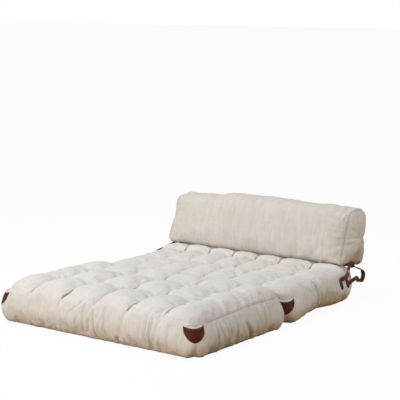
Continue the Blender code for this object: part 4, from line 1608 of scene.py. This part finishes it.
# ------------------------------------------------------------------ bolster
@dataclass
class Bolster:
    """The long leaning bolster: one wrap of cloth and two end panels."""

    cell: float = 10.0 * MM
    end_puff: float = 0.033
    end_slack: float = 0.013
    foot_sag: float = 0.030
    seat_reach: float = 0.100
    pucker_reach: float = 0.060
    end_rings: int = 9

    def __post_init__(self) -> None:
        """Read the bolster's sizes from the frame."""
        self.low, self.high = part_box("bolster_wrap")
        self.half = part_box("bolster_end_right")[1].x + self.end_slack
        self.seat = self.low.z
        self.surface: Surface | None = None

    def section_loop(self) -> np.ndarray:
        """Outline of the bolster's section, seen from its right end.

        Returns:
            Rows of y and z, evenly spaced round the section.
        """
        low, high = self.low, self.high
        corners = np.array([
            (low.y + 0.003, self.seat), (low.y + 0.105, self.seat),
            (high.y - 0.012, self.seat - self.foot_sag),
            (high.y + 0.018, high.z - 0.014), (low.y + 0.100, high.z - 0.006),
        ])
        radii = (0.026, 0.080, 0.032, 0.046, 0.044)
        rows = []
        for k, radius in enumerate(radii):
            here = corners[k]
            back = corners[k - 1] - here
            ahead = corners[(k + 1) % len(corners)] - here
            back /= np.linalg.norm(back)
            ahead /= np.linalg.norm(ahead)
            half_turn = math.acos(float(np.clip(back @ ahead, -1, 1))) / 2
            reach = radius / math.tan(half_turn)
            start, end = here + back * reach, here + ahead * reach
            for share in np.linspace(0, 1, 9):
                rows.append((1 - share) ** 2 * start + 2 * share * (1 - share) * here
                            + share ** 2 * end)
        loop = np.array(rows + rows[:1])
        run = np.r_[0, np.cumsum(np.linalg.norm(np.diff(loop, axis=0), axis=1))]
        count = round(run[-1] / self.cell)
        stops = np.arange(count) * run[-1] / count
        return np.column_stack([np.interp(stops, run, loop[:, k]) for k in range(2)])

    @staticmethod
    def top_line(x: np.ndarray) -> np.ndarray:
        """How far the bolster's back has slumped at each place along it."""
        return np.interp(
            x, (-0.55, -0.50, -0.44, -0.38, -0.30, -0.22, -0.14, -0.03, 0.10, 0.16, 0.25,
                0.38, 0.45, 0.50, 0.55),
            (-0.034, -0.025, -0.021, -0.012, -0.006, 0.005, 0.007, 0.004, 0.007, 0.005,
             0.002, 0.003, -0.003, -0.010, -0.020))

    def slump(self, points: np.ndarray) -> np.ndarray:
        """Lower the bolster's back along its length.

        Args:
            points: Places on the bolster.

        Returns:
            The same places, slumped.
        """
        share = np.clip((points[:, 2] - self.seat) / (self.high.z - self.seat), 0, 1)
        moved = points.copy()
        moved[:, 2] += self.top_line(points[:, 0]) * share ** 1.5
        return moved

    def rough_form(self) -> tuple[np.ndarray, Faces, np.ndarray]:
        """Lay out the wrap and the two end panels before they swell.

        Returns:
            Points, faces, and which points are sewn or rest on the mattress.
        """
        loop = self.section_loop()
        round_count = len(loop)
        count = round(2 * self.half / self.cell)
        share = np.arange(count + 1) / count
        x = -self.half + 2 * self.half * (share - 0.35 * np.sin(4 * np.pi * share) / (4 * np.pi))
        centre = loop.mean(axis=0)
        rows = []
        for k in range(self.end_rings, 0, -1):
            scale = (1 - k / (self.end_rings + 0.5))
            rows.append((-self.half - self.end_puff * math.sqrt(1 - scale ** 2), scale))
        rows += [(place, 1.0) for place in x]
        rows += [(-place, scale) for place, scale in reversed(rows[:self.end_rings])]
        points = np.concatenate([
            np.column_stack([np.full(round_count, place), centre + (loop - centre) * scale])
            for place, scale in rows
        ])
        faces = [tuple(reversed(f)) for f in strip_faces(len(rows), round_count, closed=True)]
        for ring, flip in ((0, True), (len(rows) - 1, False)):
            hub = len(points)
            points = np.vstack([points, [[rows[ring][0], *centre]]])
            first = ring * round_count
            for j in range(round_count):
                face = (first + j, first + (j + 1) % round_count, hub)
                faces.append(tuple(reversed(face)) if flip else face)
        sewn = abs(abs(points[:, 0]) - self.half) < 1e-6
        seated = (points[:, 2] < self.seat + 0.001) & (points[:, 1] < self.low.y + self.seat_reach)
        return self.slump(points), faces, sewn | seated

    def build(self, finishes: FinishSet) -> None:
        """Swell, refine, pucker and dress the bolster."""
        points, faces, held = self.rough_form()
        piece = make_piece("bolster_cover", points, faces)
        form = bmesh.new()
        form.from_mesh(piece.data)
        bmesh.ops.recalc_face_normals(form, faces=form.faces)
        form.to_mesh(piece.data)
        form.free()
        piece.data.shade_smooth()
        Inflation(excess=0.035, pressure=2.4, bending=0.5, frames=20).swell(
            piece, held, 26 * MM, 71)
        subdivided(piece)
        shade = self.pucker(piece)
        store_painted_shade_and_wear(piece.data, shade)
        piece.data.materials.append(finishes.bolster)
        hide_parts("bolster_wrap", "bolster_end_left", "bolster_end_right",
                    "bolster_filling")
        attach(piece, "bolster")
        self.surface = Surface(piece)

    def pucker(self, piece: bpy.types.Object) -> np.ndarray:
        """Pinch the end seams and gather the cloth beside them.

        Args:
            piece: The bolster's cover.

        Returns:
            How much painted shade each vertex gets, from 0 to 1.
        """
        points = points_of(piece.data)
        normals = normals_of(piece.data)
        x, y, z = points.T
        from_seam = abs(x) - self.half
        seam = np.exp(-(from_seam / (4 * MM)) ** 2)
        turn = np.arctan2(z - 0.33, y - 0.62)
        wave = np.sin(turn * 17 + 2.5 * lumps(points, 0.12, 5) + np.sign(x))
        wave += 0.6 * np.sin(turn * 29 + 4 * lumps(points, 0.10, 6))
        beside = np.exp(-(np.minimum(from_seam, 0) / self.pucker_reach) ** 2)
        beside *= np.exp(-(np.maximum(from_seam, 0) / 0.012) ** 2) * (1 - 0.6 * seam)
        patchy = np.clip(0.45 + 0.9 * lumps(points, 0.16, 9), 0, 1)
        shift = beside * wave * patchy * 1.8 * MM - seam * 2.2 * MM
        shift += lumps(points, 0.17, 12) * 3.0 * MM + lumps(points, 0.07, 13) * 1.0 * MM
        shift += lumps(points * (1.0, 0.3, 0.14), 0.018, 14) * 0.9 * MM
        shift *= np.clip((z - self.seat) / 0.02, 0, 1)
        moved = points + normals * shift[:, None]
        # Painted shade in the end seams and the troughs of the gathers.
        shade = seam * 0.35 + np.clip(-wave, 0, 1) * beside * patchy * 0.15
        # Painted shadow along the foot, where the bolster rests on the mattress.
        shade = np.maximum(shade, 0.5 * np.exp(-np.maximum(z - self.seat, 0) / 0.009))
        return self.rest_on_seat(piece, moved, shade)

    def rest_on_seat(
        self, piece: bpy.types.Object, points: np.ndarray, shade: np.ndarray,
    ) -> np.ndarray:
        """Keep the foot flat on the mattress.

        Args:
            piece: The bolster's cover.
            points: Its places.
            shade: The painted shade of each of them.

        Returns:
            The painted shade, unchanged.
        """
        over = np.clip((self.low.y + self.seat_reach + 0.01 - points[:, 1]) / 0.03, 0, 1)
        floor = self.seat - self.foot_sag * 1.5 * (1 - over)
        points[:, 2] = np.maximum(points[:, 2], floor)
        set_points(piece.data, points)
        return shade


# ------------------------------------------------------------------- straps
@dataclass
class StrapSet:
    """One side's strap with its keeper and its two anchor tabs."""

    side: str
    rear: TuftedSection
    bolster: Bolster
    width: float = 0.022
    thickness: float = 3.0 * MM
    curl: tuple[float, float] = (0.040, 0.035)
    keeper_standoff: float = 7.0 * MM
    keeper_drop: float = 0.022
    keeper_length: float = 0.120
    keeper_height: float = 0.014
    slack: float = 1.3 * MM
    tab_thickness: float = 2.6 * MM

    def __post_init__(self) -> None:
        """Read the anchor places from the frame."""
        self.sign = 1.0 if self.side == "right" else -1.0
        front_low, front_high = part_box("strap_tab_front_right")
        rear_low, rear_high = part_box("strap_tab_rear_right")
        self.front_y = (front_low.y + front_high.y) / 2
        self.rear_y = (rear_low.y + rear_high.y) / 2
        self.tab_top = front_high.z
        keeper_low, keeper_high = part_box("strap_keeper_right")
        self.keeper_y = (keeper_low.y + keeper_high.y) / 2
        self.keeper_z = (keeper_low.z + keeper_high.z) / 2 - self.keeper_drop
        self.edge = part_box("rear_side_band")[1].y
        self.face = self.rear.half[0] + 0.0050
        self.keeper_x = float(self.end_face(np.array([[self.keeper_y, self.keeper_z]]))[0])

    def mirrored(self, points: np.ndarray) -> np.ndarray:
        """Return points made for the right side on this strap's own side."""
        return points * np.array([self.sign, 1.0, 1.0])

    def end_face(self, places: np.ndarray) -> np.ndarray:
        """How far out the bolster's own end reaches at places of y and z.

        Args:
            places: Rows of y and z.

        Returns:
            Distance from the middle of the bolster at each place.
        """
        start = np.column_stack([np.full(len(places), self.sign * 0.56), places])
        out = np.tile([self.sign, 0.0, 0.0], (len(places), 1))
        return self.bolster.surface.meet(start, out, 0.08)[:, 0] * self.sign

    def route(self) -> np.ndarray:
        """The strap's way from one tab over the keeper and back to the other.

        Returns:
            Rows of a place and the direction its outer face looks.
        """
        z, y, edge, face = self.keeper_z, self.keeper_y, self.edge, self.face
        bar = self.keeper_x + self.slack + self.keeper_standoff
        outside = bar + self.slack + self.thickness
        behind = bar - self.slack - self.thickness
        shoulder = z + self.keeper_height / 2
        over = shoulder + self.thickness
        front_y, rear_y, top = self.front_y, self.rear_y, self.tab_top
        lay = face + self.rear.wall_swell(0.112)
        (out, up), heart_y, heart_z = self.curl, edge + 0.034, 0.130
        rows = (
            (face + self.rear.wall_swell(top - 0.016), front_y, top - 0.016, 1, 0, 0),
            (face + self.rear.wall_swell(top - 0.006), front_y, top - 0.006, 1, 0, 0.1),
            (face + 0.003, front_y + 0.004, top + 0.005, 1, 0, 0.2),
            (face + 0.006, front_y + 0.024, top + 0.009, 1, 0, 0.3),
            (face + 0.002, front_y + 0.066, z - 0.040, 1, 0, 0.5),
            (outside + 0.006, y - 0.034, z - 0.014, 1, 0, 0.35),
            (outside, y - 0.006, z + 0.001, 1, 0, 0.1),
            (outside, y - 0.002, shoulder - 0.001, 1, 0, 0.1),
            (bar, y, over + 0.001, 0, 0, 1),
            (behind, y + 0.002, shoulder - 0.001, -1, 0, 0.1),
            (behind, y + 0.005, z + 0.001, -1, 0, 0),
            (behind + 0.001, y + 0.012, z - 0.012, -1, 0.1, 0.1),
            (face - 0.020, heart_y - 0.1 * out, heart_z + up, 0.3, 0.2, 0.9),
            (face - 0.010, heart_y + 0.65 * out, heart_z + 0.67 * up, 0.3, 0.6, 0.7),
            (face - 0.006, heart_y + out, heart_z - 0.05 * up, -0.3, 0.95, 0),
            (face - 0.002, heart_y + 0.6 * out, heart_z - 0.78 * up, -0.3, 0.6, -0.7),
            (face + 0.002, heart_y - 0.15 * out, heart_z - up, -0.1, 0.2, -0.95),
            (face + 0.006, heart_y - 0.85 * out, heart_z - 0.60 * up, 0.8, -0.2, -0.6),
            (face + 0.010, heart_y - 1.4 * out, heart_z - 0.15 * up, 1, 0, 0),
            (lay + 0.0080, edge - 0.050, 0.126, 1, 0, 0.1),
            (lay + 0.0050, edge - 0.078, 0.119, 1, 0, 0.1),
            (lay + 0.0020, rear_y + 0.020, 0.112, 1, 0, 0),
            (lay + 0.0004, rear_y + 0.006, 0.112, 1, 0, 0),
            (lay + 0.0004, rear_y - 0.008, 0.112, 1, 0, 0),
        )
        return np.array(rows, float)

    def ribbon(
        self, rows: np.ndarray, width: float, thickness: float,
    ) -> tuple[np.ndarray, Faces, np.ndarray]:
        """Build a flat strap with softened edges along a route.

        Args:
            rows: Places and facing directions, evenly spaced.
            width: Width of the strap.
            thickness: Thickness of the strap.

        Returns:
            Points, faces and how near each point is to an edge.
        """
        place, facing = rows[:, :3], rows[:, 3:]
        ahead = np.gradient(place, axis=0)
        ahead /= np.linalg.norm(ahead, axis=1, keepdims=True)
        facing = facing - ahead * (facing * ahead).sum(axis=1, keepdims=True)
        facing /= np.linalg.norm(facing, axis=1, keepdims=True)
        across = np.cross(ahead, facing)
        outline = np.array([
            (-0.50, -0.20), (-0.47, -0.46), (-0.40, -0.50), (0.0, -0.46), (0.40, -0.50),
            (0.47, -0.46), (0.50, -0.20), (0.50, 0.20), (0.47, 0.46), (0.40, 0.50),
            (0.0, 0.54), (-0.40, 0.50), (-0.47, 0.46), (-0.50, 0.20),
        ])
        sides = len(outline)
        points = (place[:, None] + across[:, None] * (outline[:, 0] * width)[None, :, None]
                  + facing[:, None] * (outline[:, 1] * thickness)[None, :, None])
        faces = strip_faces(len(rows), sides, closed=True)
        faces.append(tuple(reversed(range(sides))))
        last = (len(rows) - 1) * sides
        faces.append(tuple(range(last, last + sides)))
        edge = np.tile(np.clip(abs(outline[:, 0]) * 6 - 2.1, 0, 1), len(rows))
        return points.reshape(-1, 3), faces, edge

    def build(self, finishes: FinishSet) -> None:
        """Make the strap, its keeper and its tabs."""
        self.strap(finishes)
        self.keeper(finishes)
        for end in ("front", "rear"):
            self.tab(end, finishes)

    def strap(self, finishes: FinishSet) -> None:
        """Cut and stitch the strap."""
        rows = smooth_path(self.route(), 3.0 * MM)
        points, faces, edge = self.ribbon(rows, self.width, self.thickness)
        piece = make_piece(f"strap_{self.side}_leather", self.mirrored(points), faces)
        weld(piece)
        store_painted_shade_and_wear(piece.data, edge * 0.7)
        piece.data.materials.append(finishes.leather)
        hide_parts(f"strap_{self.side}")
        seams = []
        place, facing = rows[:, :3], rows[:, 3:]
        ahead = np.gradient(place, axis=0)
        facing = facing / np.linalg.norm(facing, axis=1, keepdims=True)
        across = np.cross(ahead, facing)
        across /= np.linalg.norm(across, axis=1, keepdims=True)
        for edge_side in (-1, 1):
            line = place + across * edge_side * (self.width / 2 - 3.2 * MM)
            line = line + facing * self.thickness / 2
            seams.append(stitch_run(line, facing, pitch=6 * MM, stitch=4 * MM))
        stitches, stitch_faces = gathered(seams)
        thread = make_piece(f"strap_{self.side}_stitches", self.mirrored(stitches), stitch_faces)
        weld(thread)
        thread.data.materials.append(finishes.thread)
        for part in (piece, thread):
            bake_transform(part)

    def keeper(self, finishes: FinishSet) -> None:
        """Make the thin loop on the bolster's end that the strap passes through."""
        half = self.keeper_length / 2
        foot, ramp = 0.014, 0.010
        x = self.keeper_x + 1.2 * MM
        out = self.keeper_standoff
        y, z = self.keeper_y, self.keeper_z
        rows = np.array([
            (x, y - half, z, 1, 0, 0), (x, y - half + foot, z, 1, 0, 0),
            (x + out, y - half + foot + ramp, z, 1, 0, 0), (x + out, y, z, 1, 0, 0),
            (x + out, y + half - foot - ramp, z, 1, 0, 0), (x, y + half - foot, z, 1, 0, 0),
            (x, y + half, z, 1, 0, 0),
        ], float)
        points, faces, edge = self.ribbon(
            smooth_path(rows, 2.5 * MM), self.keeper_height, 2.4 * MM)
        piece = make_piece(f"strap_keeper_{self.side}_leather", self.mirrored(points), faces)
        weld(piece)
        store_painted_shade_and_wear(piece.data, edge * 0.4)
        piece.data.materials.append(finishes.dark_leather)
        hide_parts(f"strap_keeper_{self.side}")
        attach(piece, "bolster")

    def tab(self, end: str, finishes: FinishSet) -> None:
        """Make one round-ended anchor tab, laid on the section's side.

        Args:
            end: Which tab, "front" or "rear".
            finishes: The materials.
        """
        name = f"strap_tab_{end}_{self.side}"
        low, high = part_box(name)
        middle_y, middle_z = (low.y + high.y) / 2, (low.z + high.z) / 2
        rings, spokes = 9, 40
        turn = np.arange(spokes) * 2 * math.pi / spokes
        half_y, half_z = (high.y - low.y) / 2, (high.z - low.z) / 2
        outline = np.column_stack([
            half_y * np.cos(turn),
            (half_z - half_y) * np.sign(np.sin(turn)) + half_y * np.sin(turn),
        ])
        parts, depth = [], []
        for k in range(rings + 1):
            share = k / rings
            parts.append(outline * (1 - 0.94 * share))
            depth.append(np.full(spokes, min(1.0, 0.45 + share * 5)))
        flat = np.concatenate(parts)
        rise = np.concatenate(depth) * self.tab_thickness
        places = np.column_stack([
            np.full(len(flat), self.sign * self.face), flat[:, 0] + middle_y,
            flat[:, 1] + middle_z])
        out = np.tile([self.sign, 0.0, 0.0], (len(flat), 1))
        seated = self.rear.surface.meet(places, out)
        face = seated + out * (rise + 0.2 * MM)[:, None]
        back = seated - out * 0.5 * MM
        count = len(flat)
        skin = strip_faces(rings + 1, spokes, closed=True)
        skin.append(tuple(range(rings * spokes, rings * spokes + spokes)))
        faces = skin + [tuple(n + count for n in reversed(f)) for f in skin]
        for j in range(spokes):
            k = (j + 1) % spokes
            faces.append((k, j, j + count, k + count))
        piece = make_piece(name + "_leather", np.concatenate([face, back]), faces)
        weld(piece)
        piece.data.materials.append(finishes.dark_leather)
        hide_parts(name)
        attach(piece, "rear_section")


# -------------------------------------------------------------------- studio
@dataclass(frozen=True)
class Studio:
    """A white studio: pale floor, soft high light and a long lens."""

    lens: float = 117.4
    place: tuple[float, float, float] = (3.91, -5.111, 1.598)
    azimuth: float = 37.08
    elevation: float = 9.25
    roll: float = -0.19

    def build(self) -> None:
        """Make the camera, the lights, the floor and the world."""
        self.camera()
        self.lights()
        self.floor()
        bpy.context.scene.view_settings.view_transform = "Standard"

    def camera(self) -> None:
        """Stand the camera in front and to the right of the futon."""
        azimuth, elevation, roll = (
            math.radians(a) for a in (self.azimuth, self.elevation, self.roll)
        )
        back = Vector((math.sin(azimuth) * math.cos(elevation),
                       -math.cos(azimuth) * math.cos(elevation), math.sin(elevation)))
        turn = back.to_track_quat("Z", "Y") @ Matrix.Rotation(roll, 4, "Z").to_quaternion()
        lens = bpy.data.cameras.new("camera")
        lens.lens = self.lens
        camera = bpy.data.objects.new("camera", lens)
        camera.location = self.place
        camera.rotation_mode = "QUATERNION"
        camera.rotation_quaternion = turn
        bpy.context.scene.collection.objects.link(camera)
        bpy.context.scene.camera = camera

    def lights(self) -> None:
        """Hang a soft light close above the left, a broad one in front and one behind."""
        for name, place, size, power in (
            ("soft_key", (-1.7, -0.4, 2.6), 1.6, 33.5),
            ("broad_front", (0.0, -3.8, 1.8), 3.0, 82.0),
            ("soft_rear", (2.6, 1.5, 2.4), 2.4, 33.0),
        ):
            lamp = bpy.data.lights.new(name, "AREA")
            lamp.size = size
            lamp.energy = power
            light = bpy.data.objects.new(name, lamp)
            light.location = place
            aim = Vector((0.0, 0.0, 0.15)) - Vector(place)
            light.rotation_mode = "QUATERNION"
            light.rotation_quaternion = aim.to_track_quat("-Z", "Y")
            bpy.context.scene.collection.objects.link(light)
        world = bpy.data.worlds.new("studio_air")
        world.use_nodes = True
        tree = world.node_tree
        ambient = tree.nodes["Background"]
        ambient.inputs["Strength"].default_value = 0.30
        ambient.inputs["Color"].default_value = (1.0, 1.0, 1.0, 1.0)
        seen = add_node(
            tree, "ShaderNodeBackground", {"Color": (1.0, 1.0, 1.0, 1.0), "Strength": 1.0},
        )
        choice = add_node(
            tree, "ShaderNodeMixShader",
            links={0: self.looked_at(tree), 1: ambient.outputs["Background"],
                   2: seen.outputs["Background"]},
        )
        tree.links.new(choice.outputs["Shader"], tree.nodes["World Output"].inputs["Surface"])
        bpy.context.scene.world = world

    @staticmethod
    def looked_at(tree: bpy.types.NodeTree) -> bpy.types.NodeSocket:
        """1 where the camera sees a surface, also in gloss and through glass.

        Args:
            tree: The node tree of the world or the floor.

        Returns:
            The socket that carries the choice.
        """
        path = add_node(tree, "ShaderNodeLightPath")
        seen = path.outputs["Is Camera Ray"]
        for kind in ("Is Glossy Ray", "Is Transmission Ray"):
            seen = add_node(
                tree, "ShaderNodeMath", links={0: seen, 1: path.outputs[kind]},
                operation="MAXIMUM",
            ).outputs["Value"]
        return seen

    def floor(self) -> None:
        """Lay a floor that looks white and throws a warm light up at the futon."""
        reach = 40.0
        floor = make_piece("studio_floor", np.array([
            (-reach, -reach, 0.0), (reach, -reach, 0.0), (reach, reach, 0.0), (-reach, reach, 0.0),
        ]), [(0, 1, 2, 3)])
        material, shader = new_material("studio_floor")
        tree = material.node_tree
        shader.inputs["Base Color"].default_value = linear_colour("a9833e")
        shader.inputs["Roughness"].default_value = 0.9
        shader.inputs["Specular IOR Level"].default_value = 0.0
        white = add_node(tree, "ShaderNodeEmission", {"Color": (1.0, 1.0, 1.0, 1.0)})
        paper = add_node(tree, "ShaderNodeBsdfDiffuse", {"Color": (1.0, 1.0, 1.0, 1.0)})
        shadowed = add_node(
            tree, "ShaderNodeMixShader", {0: 0.06},
            {1: white.outputs["Emission"], 2: paper.outputs["BSDF"]},
        )
        choice = add_node(
            tree, "ShaderNodeMixShader",
            links={0: self.looked_at(tree), 1: shader.outputs["BSDF"],
                   2: shadowed.outputs["Shader"]},
        )
        tree.links.new(choice.outputs["Shader"], tree.nodes["Material Output"].inputs["Surface"])
        floor.data.materials.append(material)


def clear_scene() -> None:
    """Remove whatever the scene starts with."""
    for obj in list(bpy.data.objects):
        bpy.data.objects.remove(obj, do_unlink=True)


def main() -> None:
    """Build every piece round the frame."""
    logging.basicConfig(level=logging.INFO, format="%(name)s: %(message)s")
    clear_scene()
    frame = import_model()
    Studio().build()
    finishes = FinishSet()
    front = TuftedSection(
        "front", "front_section", finishes, frame["nodes"], 11, open_front=True, lowered=False,
        fullness=((1.0, 1.0, 1.0, 1.0, 1.0, 0.97), (0.96, 1.0, 1.02, 1.0, 1.0, 1.0),
                  (0.82, 0.92, 0.98, 1.0, 1.0, 1.0)),
        creases=FRONT_CREASES,
        lifts=(Bump(-0.59, -0.34, 0.003, 0.12), Bump(0.59, 0.08, 0.014, 0.22)),
        plan_radius=(0.048, 0.058))
    rear = TuftedSection(
        "rear", "rear_section", finishes, frame["nodes"], 47, open_front=False, lowered=True,
        fullness=((0.56, 0.74, 0.92, 1.0, 1.0, 1.0, 1.02),
                  (0.58, 0.76, 0.94, 1.02, 1.0, 1.04, 1.08),
                  (0.75, 0.9, 1.0, 1.0, 1.0, 1.0, 1.0)),
        creases=REAR_CREASES,
        lifts=(Bump(0.59, -0.33, -0.010, 0.10),),
        tucks=(Bump(0.59, -0.02, 0.075, 0.17), Bump(0.59, 0.27, 0.040, 0.15),
               Bump(-0.59, 0.10, 0.040, 0.20)),
        plan_radius=(0.070, 0.085), side_roll=(0.19, 0.11), end_roll=(0.12, 0.085),
        outer_rows=(0.6, 0.15), row_pull=(1.0, 0.3), free_right=True)
    for section in (front, rear):
        piece = section.build()
        LOG.info("%s: %d faces", piece.name, len(piece.data.polygons))
        TwineTufts(section).build(finishes)
        for side in ("left", "right"):
            LeatherPatch(section, side).build(finishes)
    FoldGusset().build(finishes)
    bolster = Bolster()
    bolster.build(finishes)
    for side in ("left", "right"):
        StrapSet(side, rear, bolster).build(finishes)
        LOG.info("strap set %s", side)


if __name__ == "__main__":
    main()
